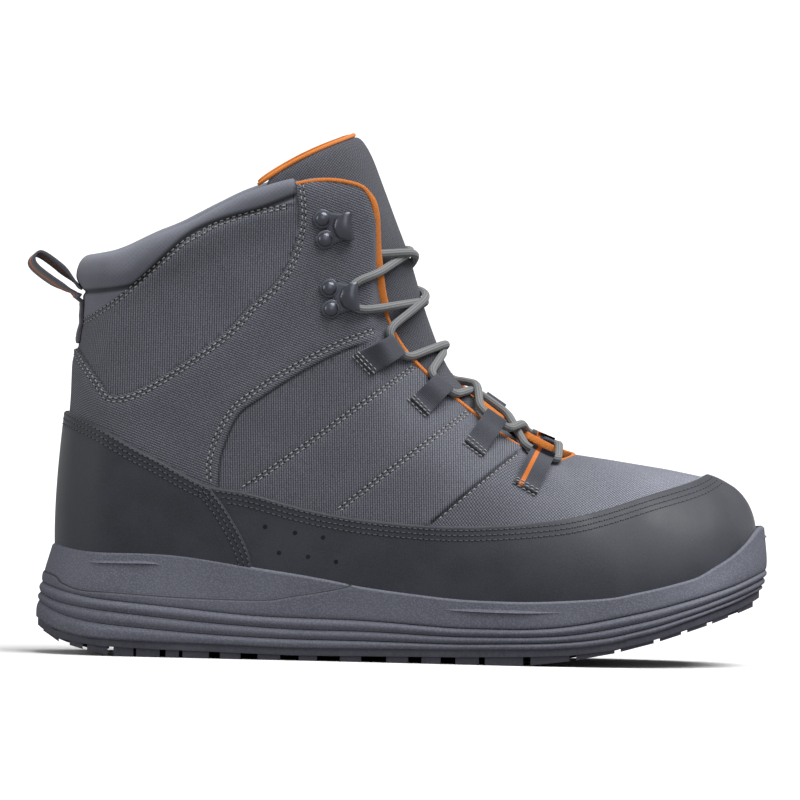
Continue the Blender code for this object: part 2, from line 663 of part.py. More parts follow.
def tongue_top():
    edge, turn, front = [(along(x), y * HALF_SHAFT, height_at(level)) for x, y, level in TONGUE_TOP]
    outer = [Vector((x, -y, z)) for x, y, z in (edge, turn)]
    inner = [Vector((x, y, z)) for x, y, z in (turn, edge)]
    return outer + [Vector(front)] + inner


TONGUE_ROWS = [tongue_slice(row) for row in TONGUE] + [tongue_top()]


def slice_point(row, v):
    """Point of a slice: each half leaves along the upper's inside and arrives level."""
    edge, turn = (row[0], row[1]) if v <= .5 else (row[4], row[3])
    t = 2 * min(v, 1 - v)
    middle = row[2]
    lead = edge + (turn - edge) * TONGUE_LEAD
    level = middle + (lead - middle) * Vector(TONGUE_EASE)
    r = 1 - t
    return edge * r ** 3 + lead * 3 * r * r * t + level * 3 * r * t * t + middle * t ** 3


def tongue_point(k, v):
    """Point of the tongue's front face on slice k, from 0 at its outer edge to 1."""
    low = min(int(k), len(TONGUE_ROWS) - 1)
    high = min(low + 1, len(TONGUE_ROWS) - 1)
    start, end = slice_point(TONGUE_ROWS[low], v), slice_point(TONGUE_ROWS[high], v)
    return start + (end - start) * (k - low)


def tongue_normal(k, v):
    last = len(TONGUE_ROWS) - 1
    climb = tongue_point(min(k + STEP_K, last), v) - tongue_point(max(k - STEP_K, 0), v)
    ahead = tongue_point(k, min(v + STEP_G, 1)) - tongue_point(k, max(v - STEP_G, 0))
    return ahead.cross(climb).normalized()


def tongue_depth(k):
    """The tongue is thin at its toe and padded further up."""
    return TONGUE_WALL * (TONGUE_TOE + (1 - TONGUE_TOE) * min(k / TONGUE_PADDED, 1))


def make_tongue(finish):
    across = 2 * TONGUE_STEPS
    rows = len(TONGUE_ROWS)
    outer = [tongue_point(k, i / across) for k in range(rows) for i in range(across + 1)]
    inner = [tongue_point(k, i / across) - tongue_normal(k, i / across) * tongue_depth(k)
             for k in range(rows) for i in range(across + 1)]
    line, shift = across + 1, len(outer)
    faces = []
    for k in range(rows - 1):
        for i in range(across):
            a, b, c, d = k * line + i, k * line + i + 1, (k + 1) * line + i + 1, (k + 1) * line + i
            faces += quad(a, b, c, d)
            faces += [(y + shift, x + shift, z + shift) for x, y, z in quad(a, b, c, d)]
        for i in (0, across):
            a, b = k * line + i, (k + 1) * line + i
            faces += quad(a, b, b + shift, a + shift)
    for k in (0, rows - 1):
        for i in range(across):
            a = k * line + i
            faces += quad(a, a + 1, a + 1 + shift, a + shift)
    return closed_mesh("tongue", outer + inner, faces, finish)


def sweep(name, path, outline, finish, across=ACROSS):
    """Solid that carries an outline (side, up) along a path of points."""
    points, faces = [], []
    count = len(outline)
    for k, point in enumerate(path):
        ahead = (path[min(k + 1, len(path) - 1)] - path[max(k - 1, 0)]).normalized()
        side = ahead.cross(across).normalized()
        up = side.cross(ahead)
        points += [point + side * a + up * b for a, b in outline]
    for k in range(len(path) - 1):
        for i in range(count):
            n = (i + 1) % count
            faces += quad(k * count + i, k * count + n, (k + 1) * count + n, (k + 1) * count + i)
    last = (len(path) - 1) * count
    faces.append(tuple(reversed(range(count))))
    faces.append(tuple(last + i for i in range(count)))
    return closed_mesh(name, points, faces, finish)


def circle(radius, sides):
    return [(radius * math.cos(2 * math.pi * i / sides), radius * math.sin(2 * math.pi * i / sides))
            for i in range(sides)]


def beyond(g):
    """Direction out of the upper's edge, in line with its wall."""
    ahead = surface(g + STEP_G, 1) - surface(g - STEP_G, 1)
    return direction(g, 1).cross(ahead).normalized()


def make_collar_piping(side, finish):
    path = []
    for u in PIPING_STEPS:
        g = u if side == "outer" else 2 * TIP - u
        rim = skin(g, 1, -wall_at(g, 1) / 2)
        path.append(rim + beyond(g) * (PIPING_RADIUS + CLEARANCE))
    return sweep("collar_piping_" + side, path, circle(PIPING_RADIUS, PIPING_SIDES), finish)


def make_tongue_piping(finish):
    last = len(TONGUE_ROWS) - 1
    path = []
    for i in range(PIPING_SPANS + 1):
        v = i / PIPING_SPANS
        edge = tongue_point(last, v) - tongue_normal(last, v) * tongue_depth(last) / 2
        rise = (tongue_point(last, v) - tongue_point(last - STEP_K, v)).normalized()
        path.append(edge + rise * (PIPING_RADIUS + CLEARANCE))
    return sweep("tongue_piping", path, circle(PIPING_RADIUS, PIPING_SIDES), finish)


def faceted(g, s):
    """Point of the upper between the corners of its face at (g, s)."""
    g = g % (2 * TIP)
    i = max(k for k, place in enumerate(ROUND) if place <= g)
    j = max(k for k, level in enumerate(LEVELS[:-1]) if level <= s)
    left, right = ROUND[i], ROUND[i + 1] if i + 1 < len(ROUND) else 2 * TIP
    a, b = (g - left) / (right - left), (s - LEVELS[j]) / (LEVELS[j + 1] - LEVELS[j])
    low = surface(left, LEVELS[j]).lerp(surface(right, LEVELS[j]), a)
    high = surface(left, LEVELS[j + 1]).lerp(surface(right, LEVELS[j + 1]), a)
    return low.lerp(high, b)


def follow(guess, x, z):
    """Place (g, s) of the upper that lies at x and z seen from the side, near a guess."""
    g, s = guess
    for _ in range(FOLLOW_TURNS):
        here = surface(g, s)
        by_g = (surface(g + STEP_G, s) - here) / STEP_G
        by_s = (here - surface(g, s - STEP_S)) / STEP_S
        spread = by_g.x * by_s.z - by_g.z * by_s.x
        dx, dz = x - here.x, z - here.z
        g += (dx * by_s.z - dz * by_s.x) / spread
        s = min(max(s + (by_g.x * dz - by_g.z * dx) / spread, STEP_S), 1)
    return g, s


def make_lace_loop(name, side, row, finish):
    """Folded webbing sewn down at its tail, with an eye beyond the throat's edge."""
    u, half, outer_tack, inner_tack, share = row
    tack = outer_tack if side == "outer" else inner_tack
    turn = (lambda v: v) if side == "outer" else (lambda v: 2 * TIP - v)
    start = surface(turn(tack[0]), tack[1])
    edge = surface(turn(u), 1)
    run = Vector((edge.x - start.x, 0, edge.z - start.z)).normalized()
    wide = Vector((run.z, 0, -run.x)) * LOOP_WIDTH / 2
    columns = []
    for b in (-1, 0, 1):
        tail, lip = start + wide * b, surface(turn(u + half * b), 1)
        place = (turn(tack[0]), tack[1])
        line = []
        for a in LOOP_SHARES:
            target = tail.lerp(lip, a)
            place = follow(place, target.x, target.z) if a < 1 else (turn(u + half * b), 1)
            line.append((faceted(*place), direction(*place)))
        low = [p + n * (LOOP_ROOM if a else TACK_ROOM) * share for a, (p, n) in zip(LOOP_SHARES, line)]
        high = [p + n * 2 * WEBBING for p, (_, n) in zip(low, line)]
        point, normal = line[-1]
        out = (low[-1] - low[-2]).normalized()
        out = (out - normal * out.dot(normal)).normalized()
        big = EYE_RADIUS + WEBBING
        centre = low[-1] + out * (big + WEBBING / 2) + normal * big
        ring_out, ring_in = [], []
        for k in range(EYE_SPANS + 1):
            angle = math.radians(EYE_TURN * (2 * k / EYE_SPANS - 1))
            ray = out * math.cos(angle) + normal * math.sin(angle)
            ring_out.append(centre + ray * big)
            ring_in.append(centre + ray * EYE_RADIUS)
        columns.append((low, high, ring_out, ring_in))
    return columns_mesh(name, columns, finish)


def columns_mesh(name, columns, finish):
    points, faces = [], []
    tail, ring = len(columns[0][0]), len(columns[0][2])
    size = 2 * tail + 2 * ring
    for low, high, ring_out, ring_in in columns:
        points += low + ring_out + high[::-1] + ring_in
    outline = list(range(2 * tail + ring))
    eye = list(range(2 * tail + ring, size))
    for c in range(len(columns) - 1):
        for loop in (outline, eye):
            for i, a in enumerate(loop):
                b = loop[(i + 1) % len(loop)]
                faces += quad(c * size + a, c * size + b, (c + 1) * size + b, (c + 1) * size + a)
    for c in (0, len(columns) - 1):
        base = c * size
        end = base + 2 * tail + ring - 1
        for i in range(tail - 1):
            faces += quad(base + i, base + i + 1, end - 1 - i, end - i)
        for i in range(ring - 1):
            faces += quad(base + tail + i, base + tail + i + 1, base + eye[i + 1], base + eye[i])
        faces += quad(base + tail - 1, base + tail, base + eye[0], base + eye[-1])
        faces += quad(base + tail - 1, base + eye[-1], base + tail + ring - 1, base + tail + ring)
    return closed_mesh(name, points, faces, finish)


def hook_mesh(finish):
    """Plate with two rivets and a hook that curls back over it; x is forward and z outward."""
    lobe = RIVET_RADIUS + HOOK_PLATE
    radius = LACE_RADIUS + CLEARANCE + HOOK_PLATE / 2
    half, arm = RIVET_SPACING / 2, HOOK_ARM
    outline = [(lobe * a, -half - lobe * b) for a, b in LOBE_OUTLINE]
    outline += [(arm * LOBE_NECK, -HOOK_WIDTH / 2), (arm, -HOOK_WIDTH / 2)]
    outline += [(x, -y) for x, y in reversed(outline)]
    count = len(outline)
    points = [Vector((x, y, 0)) for x, y in outline] + [Vector((x, y, HOOK_PLATE)) for x, y in outline]
    faces = [tuple(reversed(range(count))), tuple(range(count, 2 * count))]
    faces += [(i, (i + 1) % count, (i + 1) % count + count, i + count) for i in range(count)]
    plate = closed_mesh("hook_plate", points, faces, finish)
    path = [Vector((arm - HOOK_PLATE, 0, HOOK_PLATE / 2)), Vector((arm, 0, HOOK_PLATE / 2))]
    for k in range(1, CURL_SPANS + 1):
        angle = math.radians(180 * k / CURL_SPANS - 90)
        path.append(Vector((arm + radius * math.cos(angle), 0,
                            HOOK_PLATE / 2 + radius + radius * math.sin(angle))))
    path.append(path[-1] - Vector((HOOK_TIP, 0, -HOOK_PLATE / 2)))
    strip = [(-HOOK_PLATE / 2, -HOOK_WIDTH / 2), (HOOK_PLATE / 2, -HOOK_WIDTH / 2),
             (HOOK_PLATE / 2, HOOK_WIDTH / 2), (-HOOK_PLATE / 2, HOOK_WIDTH / 2)]
    combine(plate, sweep("hook_curl", path, strip, None), "UNION")
    for sign in (-1, 1):
        bpy.ops.mesh.primitive_cone_add(
            vertices=RIVET_SIDES, radius1=RIVET_RADIUS, radius2=RIVET_RADIUS * RIVET_TOP,
            depth=RIVET_HEIGHT, location=(0, sign * half, HOOK_PLATE + RIVET_HEIGHT / 4))
        rivet = bpy.context.object
        bpy.ops.object.transform_apply(location=True, rotation=False, scale=True)
        combine(plate, rivet, "UNION")
    bpy.context.view_layer.update()
    solid = bpy.data.meshes.new_from_object(plate.evaluated_get(bpy.context.evaluated_depsgraph_get()))
    for obj in [m.object for m in plate.modifiers] + [plate]:
        bpy.data.objects.remove(obj, do_unlink=True)
    return solid


def place_hook(name, mesh, side, row):
    g = row[0] if side == "outer" else 2 * TIP - row[0]
    normal = direction(g, row[1])
    ahead = (surface(g + .1, row[1]) - surface(g - .1, row[1]))
    ahead = ahead if side == "outer" else -ahead
    ahead = (ahead - normal * ahead.dot(normal)).normalized()
    level = normal.cross(ahead)
    turn = Matrix((ahead, level, normal)).transposed().to_4x4()
    turn.translation = skin(g, row[1], 2 * CLEARANCE)
    obj = bpy.data.objects.new(name, mesh)
    obj.matrix_world = turn
    bpy.context.scene.collection.objects.link(obj)
    return obj


def lace_path(start, end):
    path = []
    for v in LACE_SPAN:
        k = start + (end - start) * (v - LACE_SPAN[0]) / (LACE_SPAN[-1] - LACE_SPAN[0])
        path.append(tongue_point(k, v) + tongue_normal(k, v) * (LACE_RADIUS + 2 * CLEARANCE))
    return path


def make_laces(finish):
    shape = circle(LACE_RADIUS, LACE_SIDES)
    for number, (start, end) in enumerate(CROSSINGS):
        strand = sweep("lace_crossing_%d" % (number + 1), lace_path(start, end), shape, finish, UP)
        other = sweep("lace_strand_%d" % (number + 1), lace_path(end, start), shape, None, UP)
        combine(strand, other, "UNION")
    sweep("lace_bar", lace_path(LACE_BAR, LACE_BAR), shape, finish, UP)


def make_pull_loop(finish):
    """Webbing sewn up the heel, out into a loop and back under the collar's roll."""
    stand = PULL_ROOM + PULL_WEBBING / 2
    path = [surface(0, s) - Vector((stand, 0, 0)) for s in PULL_TAIL]
    root = surface(0, PULL_TAIL[-1])
    path += [root + Vector((x, 0, z)) * PULL_REACH for x, z in PULL_LOOP]
    half, wide = PULL_WEBBING / 2, PULL_WIDTH / 2
    strip = [(-half, -wide), (half, -wide), (half, wide), (-half, wide)]
    return sweep("pull_loop", path, strip, finish)


def clear_scene():
    for obj in list(bpy.data.objects):
        bpy.data.objects.remove(obj, do_unlink=True)


def main():
    clear_scene()
    fabric = material("fabric", (78, 78, 88), .85)
    nubuck = material("nubuck", (60, 60, 68), .8)
    foam = material("foam", (87, 89, 101), .7)
    lining = material("lining", (50, 50, 56), .9)
    rubber = material("rubber", (58, 58, 66), .75)
    trim = material("trim", (226, 118, 44), .7)
    cord = material("cord", (160, 160, 166), .8)
    strap = material("strap", (74, 74, 82), .8)
    metal = material("metal", (44, 47, 55), .35, 1.0)
    make_upper(fabric)
    make_rand(nubuck)
    make_counter(nubuck)
    make_midsole(foam)
    make_insole(lining)
    make_outsole(rubber)
    make_tongue(fabric)
    make_tongue_piping(trim)
    make_laces(cord)
    make_pull_loop(strap)
    hook = hook_mesh(metal)
    for side in ("outer", "inner"):
        make_collar_piping(side, trim)
        for number, row in enumerate(HOOKS):
            place_hook("lace_hook_%s_%d" % (side, number + 1), hook, side, row)
        for number, row in enumerate(LOOPS):
            make_lace_loop("lace_loop_%s_%d" % (side, number + 1), side, row, strap)


main()
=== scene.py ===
import math

import bmesh
import bpy
import numpy as np
from mathutils import Matrix, Vector
from mathutils.bvhtree import BVHTree


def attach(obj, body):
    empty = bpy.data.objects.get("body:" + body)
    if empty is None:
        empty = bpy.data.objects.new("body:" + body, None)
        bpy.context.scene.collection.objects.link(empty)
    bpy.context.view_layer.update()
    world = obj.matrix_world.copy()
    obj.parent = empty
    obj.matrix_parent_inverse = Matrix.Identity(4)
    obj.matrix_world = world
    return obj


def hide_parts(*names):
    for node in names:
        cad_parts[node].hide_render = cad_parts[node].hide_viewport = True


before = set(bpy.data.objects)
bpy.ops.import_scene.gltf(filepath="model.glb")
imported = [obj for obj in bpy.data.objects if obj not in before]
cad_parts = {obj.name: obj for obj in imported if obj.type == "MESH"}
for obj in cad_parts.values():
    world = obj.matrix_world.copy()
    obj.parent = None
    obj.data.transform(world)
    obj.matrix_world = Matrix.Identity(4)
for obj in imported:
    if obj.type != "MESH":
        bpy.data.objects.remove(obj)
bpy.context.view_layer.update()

bl_info = {
    "name": "Wading Boot",
    "version": (1, 0, 0),
    "blender": (4, 5, 0),
    "location": "3D View > Sidebar > Boot",
    "description": "Dresses the solids of a right wading boot in fabric, nubuck, foam and rubber",
    "category": "Object",
}

BODY = "root"
MERGE = 0.00001
MM = 0.001
WEBBING = .0009  # thickness of the lace loops' webbing
BESIDE = .2  # a place well beside the boot, from which rays look at its side

# The photograph's side view: metres a pixel, tilt of the boot and the pixel under its heel.
PICTURE_SCALE = 0.0004212
PICTURE_TILT = math.radians(1.2)
PICTURE_PIVOT = (400, 663)
PICTURE_HEEL = 258
PICTURE_SIZE = 800

# Rows of corners round the midsole's side, counted from the underside: its grooves, and the row
# from which the wall is carried on to the lip.
GROOVE_ROWS = (2, 5, 8)
WALL_ROW = 9

# Seams on the side, in pixels of the photograph.
COLLAR_SEAM = ((58, 341), (79, 325), (101, 311), (124, 294), (143, 277), (163, 260), (182, 243),
               (201, 232), (218, 223), (254, 212), (291, 205))
COLLAR_GROOVE = ((60, 297), (83, 294), (105, 291.5), (127, 288), (138.5, 282), (161.5, 259.6), (184.4, 238.5),
                 (203.6, 227), (230.3, 217.5), (259, 209.9), (296, 196))
ANKLE_SEAM = ((58, 343), (73, 352), (82, 365), (96, 384), (107, 398), (122, 399), (138, 394), (163, 380),
              (191, 362), (230, 333), (254, 307), (271, 293), (286, 275), (295, 257), (300, 239),
              (303, 214), (300, 182))
QUARTER_SEAM = ((209, 500), (209, 480), (209, 462), (217, 436), (233, 409), (253, 393), (275, 378),
                (307, 360), (343, 342), (375, 331))
QUARTER_EDGE = ((217, 500), (218, 482), (221, 455), (237, 417), (261, 398), (300, 373), (334, 355),
                (357, 346))
FLEX_SEAMS = (((243, 489), (302, 448), (354, 410), (420, 364)), ((339, 510), (396, 466), (473, 410)))
VAMP_SEAM = ((431, 523), (469, 491), (499, 467), (517, 454))
FOAM_PANEL = ((-60, 38), (-39.7, 33.5), (-35, 30.1), (-27, 27.5), (-14.5, 26.9), (16, 25.4), (49.6, 25.1),
              (61.5, 26.8), (79.8, 30.1), (92, 33.5), (104, 38))
# Upper edge of the rand and the counter, and the counter's front edge, in millimetres (x, z).
RAND_EDGE = ((-60, 106), (-46, 104), (-34.6, 102.7), (-19.7, 96.7), (-4.8, 88.6), (5.8, 83.4), (16.5, 77.7),
             (27.5, 72.9), (44.0, 70.3), (65.2, 64.8), (86.3, 61.0), (107.4, 59.0), (128.5, 58.1),
             (149.6, 59.0), (174.8, 61.6), (191.6, 65.4), (212.5, 72.1), (229.2, 77.1), (237.2, 80.6),
             (245.0, 86.0), (262.0, 98.0))
COUNTER_EDGE = ((22.0, 84.0), (27.5, 72.9), (33.6, 65.0), (40.1, 54.6), (44.5, 45.4), (45.9, 37.9),
                (46.5, 15.0))
HOOK_RIVETS = (((322, 219), (325, 240)), ((329, 289), (331, 309)))
# Each loop's sewn end and fold, upper and lower corner, and its bar-tack's corners, in pixels.
LOOP_STRAPS = (((355, 354), (373.5, 374), (388, 336), (401, 355)),
               ((411, 399), (429, 415), (433, 379), (450, 393)),
               ((465, 441), (484, 456), (484, 415), (503, 428)),
               ((514, 482), (537, 494), (531, 453), (553, 462)))
BAR_TACKS = (((351, 357.5), (359, 351), (377, 371), (370, 378)),
             ((406, 401), (413.5, 396), (431, 414.5), (426, 420)),
             ((461.5, 445), (468.5, 437), (487.5, 454.5), (482, 459.5)),
             ((511.5, 484), (516.5, 479), (540, 492), (536, 498.5)))
VENT_HOLES = ((265, 527), (295, 533), (323, 537.5), (279, 553), (308, 557), (336, 562))


def from_picture(px, py):
    """Place (x, z) on the boot's side for a pixel of the photograph."""
    dx, dy = px - PICTURE_PIVOT[0], PICTURE_PIVOT[1] - py
    cos, sin = math.cos(PICTURE_TILT), math.sin(PICTURE_TILT)
    return (PICTURE_SCALE * (dx * cos - dy * sin + PICTURE_HEEL), PICTURE_SCALE * (dx * sin + dy * cos))


def smooth_line(points, pieces=6):
    """Smooth line through points of any dimension, as an array."""
    rows = np.array(points, dtype=float)
    rows = np.vstack([2 * rows[0] - rows[1], rows, 2 * rows[-1] - rows[-2]])
    line = []
    for a, b, c, d in zip(rows, rows[1:], rows[2:], rows[3:]):
        for t in np.arange(pieces) / pieces:
            line.append(0.5 * (2 * b + (c - a) * t + (2 * a - 5 * b + 4 * c - d) * t * t
                               + (3 * b - a - 3 * c + d) * t ** 3))
    line.append(rows[-2])
    return np.array(line)


def picture_line(pixels):
    """Smooth side line (x, z) through pixels of the photograph."""
    return smooth_line([from_picture(*pixel) for pixel in pixels])


def side_line(millimetres):
    """Smooth side line (x, z) through points given in millimetres."""
    return smooth_line(np.array(millimetres) * MM)


def unit(rows):
    """Rows of vectors, each brought to length 1."""
    return rows / np.maximum(np.linalg.norm(rows, axis=1), 1e-9)[:, None]


def lengths_along(path):
    """Length of a path up to each of its points."""
    return np.concatenate([[0], np.cumsum(np.linalg.norm(np.diff(path, axis=0), axis=1))])


def shifted(line, distance):
    """A line of (x, z) moved to its left by a distance."""
    ahead = unit(np.gradient(line, axis=0))
    return line + np.stack([-ahead[:, 1], ahead[:, 0]], axis=1) * distance


def signed_distance(points, line):
    """Distance of (x, z) points from a line, positive on its left, and the way it grows."""
    best = np.full(len(points), 1e9)
    sign = np.ones(len(points))
    grow = np.zeros((len(points), 2))
    for a, b in zip(line, line[1:]):
        run = b - a
        t = np.clip(((points - a) @ run) / (run @ run), 0, 1)
        gap = points - (a + t[:, None] * run)
        distance = np.linalg.norm(gap, axis=1)
        closer = distance < best
        side = np.sign(run[0] * gap[:, 1] - run[1] * gap[:, 0])
        best = np.where(closer, distance, best)
        sign = np.where(closer, side, sign)
        grow[closer] = gap[closer]
    sign[sign == 0] = 1
    grow = grow * (sign / np.maximum(best, 1e-9))[:, None]
    return best * sign, grow


def bump_shape(distance, width):
    """Bell of height 1 over a distance."""
    return np.exp(-(distance / width) ** 2)


def ease(value):
    """Smooth step from 0 to 1."""
    value = np.clip(value, 0, 1)
    return value * value * (3 - 2 * value)


def select_only(obj):
    bpy.ops.object.select_all(action="DESELECT")
    obj.select_set(True)
    bpy.context.view_layer.objects.active = obj


def new_object(name, mesh):
    obj = bpy.data.objects.new(name, mesh)
    bpy.context.scene.collection.objects.link(obj)
    return obj


def modelled(name, points, faces):
    """Object made of corners and faces."""
    mesh = bpy.data.meshes.new(name)
    mesh.from_pydata(np.array(points).tolist(), [], faces)
    return new_object(name, mesh)


def point_outwards(obj):
    """Turns every face of a closed form outwards."""
    select_only(obj)
    bpy.ops.object.mode_set(mode="EDIT")
    bpy.ops.mesh.select_all(action="SELECT")
    bpy.ops.mesh.normals_make_consistent(inside=False)
    bpy.ops.object.mode_set(mode="OBJECT")


def round_edges(obj, width, segments, sharper_than):
    """Rounds the edges that are sharper than an angle in degrees."""
    bevel = obj.modifiers.new("round_edges", "BEVEL")
    bevel.width, bevel.segments = width, segments
    bevel.limit_method, bevel.angle_limit = "ANGLE", math.radians(sharper_than)
    select_only(obj)
    bpy.ops.object.modifier_apply(modifier=bevel.name)


def coords(mesh):
    flat = np.empty(len(mesh.vertices) * 3)
    mesh.vertices.foreach_get("co", flat)
    return flat.reshape(-1, 3)


def set_coords(mesh, points):
    mesh.vertices.foreach_set("co", np.ascontiguousarray(points).ravel())
    mesh.update()


def vertex_normals(mesh):
    flat = np.empty(len(mesh.vertices) * 3)
    mesh.vertex_normals.foreach_get("vector", flat)
    return flat.reshape(-1, 3)


def set_value(mesh, name, values):
    """Keeps a number for each corner, which the materials read by its name."""
    layer = mesh.attributes.get(name) or mesh.attributes.new(name, "FLOAT", "POINT")
    layer.data.foreach_set("value", np.ascontiguousarray(values, dtype=np.float32))


def get_vectors(mesh, name):
    flat = np.empty(len(mesh.vertices) * 3, dtype=np.float32)
    mesh.attributes[name].data.foreach_get("vector", flat)
    return flat.reshape(-1, 3).astype(float)


def set_vectors(mesh, name, values):
    layer = mesh.attributes.get(name) or mesh.attributes.new(name, "FLOAT_VECTOR", "POINT")
    layer.data.foreach_set("vector", np.ascontiguousarray(values, dtype=np.float32).ravel())


def node_copy(node, name):
    """Merged copy of a solid's mesh, with its triangles joined to quads."""
    obj = new_object(name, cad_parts[node].data.copy())
    obj.data.materials.clear()
    select_only(obj)
    bpy.ops.mesh.customdata_custom_splitnormals_clear()
    bpy.ops.object.mode_set(mode="EDIT")
    bpy.ops.mesh.select_all(action="SELECT")
    bpy.ops.mesh.remove_doubles(threshold=MERGE)
    bpy.ops.mesh.tris_convert_to_quads(face_threshold=math.radians(40), shape_threshold=math.radians(60))
    bpy.ops.object.mode_set(mode="OBJECT")
    return obj


def add_smoothing(obj, levels):
    modifier = obj.modifiers.new("smooth", "SUBSURF")
    modifier.levels = modifier.render_levels = levels
    return modifier


def smooth_through(obj, levels, hold=.25):
    """Subdivides a copy so that its smooth form still passes through its own corners."""
    mesh = obj.data
    bm = bmesh.new()
    bm.from_mesh(mesh)
    keep = np.array([hold if any(e.is_manifold and e.calc_face_angle(0) > math.radians(50)
                                 for e in v.link_edges) else 1.0 for v in bm.verts])
    bm.free()
    modifier = add_smoothing(obj, 2)
    target = coords(mesh)
    now = target.copy()
    for _ in range(3):
        bpy.context.view_layer.update()
        form = obj.evaluated_get(bpy.context.evaluated_depsgraph_get())
        got = coords(form.data)[:len(target)]
        now = now + (target - got) * keep[:, None]
        set_coords(mesh, now)
    modifier.levels = modifier.render_levels = levels
    select_only(obj)
    bpy.ops.object.modifier_apply(modifier=modifier.name)
    mesh.shade_smooth()
    return obj


def flood(bm, seed, limit):
    """Faces joined to the one nearest to the seed through edges flatter than the limit."""
    bm.faces.ensure_lookup_table()
    start = min(bm.faces, key=lambda f: (f.calc_center_median() - seed).length)
    found, waiting = {start}, [start]
    while waiting:
        face = waiting.pop()
        for edge in face.edges:
            if edge.is_manifold and edge.calc_face_angle(0) < limit:
                for other in edge.link_faces:
                    if other not in found:
                        found.add(other)
                        waiting.append(other)
    return found


def drop_faces(mesh, test):
    """Removes the faces that the test names, and what only they used."""
    bm = bmesh.new()
    bm.from_mesh(mesh)
    bmesh.ops.delete(bm, geom=[f for f in bm.faces if test(f)], context="FACES")
    bm.to_mesh(mesh)
    bm.free()


def split_near(obj, near, cuts):
    """Cuts the faces whose corners are all marked near into smaller ones."""
    mesh = obj.data
    select_only(obj)
    for vertex, flag in zip(mesh.vertices, near):
        vertex.select = bool(flag)
    for part in (*mesh.edges, *mesh.polygons):
        part.select = all(near[v] for v in part.vertices)
    bpy.ops.object.mode_set(mode="EDIT")
    bpy.ops.mesh.select_mode(type="FACE")
    bpy.ops.mesh.subdivide(number_cuts=cuts)
    bpy.ops.object.mode_set(mode="OBJECT")


def tree_of(obj):
    """Surface of an object, to lay other pieces on."""
    return BVHTree.FromObject(obj, bpy.context.evaluated_depsgraph_get())


def seen_from_side(tree, x, z, side):
    """Spot and outward way that a surface shows at (x, z) from one side, or None for both."""
    return tree.ray_cast(Vector((x, side * BESIDE, z)), Vector((0, -side, 0)))[:2]


def tube(name, path, section, radius, side_of):
    """Tube along a path, with a length map; side_of gives the section's first axis at each point."""
    count = len(path)
    ahead = unit(np.gradient(path, axis=0))
    side = unit(side_of - ahead * (side_of * ahead).sum(axis=1)[:, None])
    other = np.cross(ahead, side)
    angle = np.arange(section) * 2 * math.pi / section
    rings = (path[:, None, :] + side[:, None, :] * np.cos(angle)[None, :, None] * radius
             + other[:, None, :] * np.sin(angle)[None, :, None] * radius)
    length = lengths_along(path)
    faces, uvs = [], []
    for i in range(count - 1):
        for j in range(section):
            k = (j + 1) % section
            faces.append((i * section + j, i * section + k, (i + 1) * section + k, (i + 1) * section + j))
            u0, u1 = j / section, (j + 1) / section
            uvs += [(u0, length[i]), (u1, length[i]), (u1, length[i + 1]), (u0, length[i + 1])]
    faces.append(tuple(reversed(range(section))))
    faces.append(tuple((count - 1) * section + j for j in range(section)))
    uvs += [(0, 0)] * (2 * section)
    obj = modelled(name, rings.reshape(-1, 3), faces)
    layer = obj.data.uv_layers.new(name="length_map")
    layer.data.foreach_set("uv", np.array(uvs, dtype=np.float32).ravel())
    point_outwards(obj)
    obj.data.shade_smooth()
    return obj


def carried_sides(path, start):
    """First axis for a tube, carried along the path without twist."""
    side = np.array(start, dtype=float)
    sides = []
    for direction in unit(np.gradient(path, axis=0)):
        side = side - direction * (side @ direction)
        side = side / np.linalg.norm(side)
        sides.append(side)
    return np.array(sides)


def resampled(path, step):
    """Points at even steps along a path."""
    length = lengths_along(path)
    count = max(int(round(length[-1] / step)), 1)
    places = np.linspace(0, length[-1], count + 1)
    return np.stack([np.interp(places, length, path[:, k]) for k in range(path.shape[1])], axis=1)


def finish_piece(obj, slot, material, *nodes):
    """Gives a piece its finish and its body, and hides the solids that it stands for; slot is not used."""
    obj.data.materials.clear()
    obj.data.materials.append(material)
    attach(obj, BODY)
    if nodes:
        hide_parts(*nodes)
    return obj


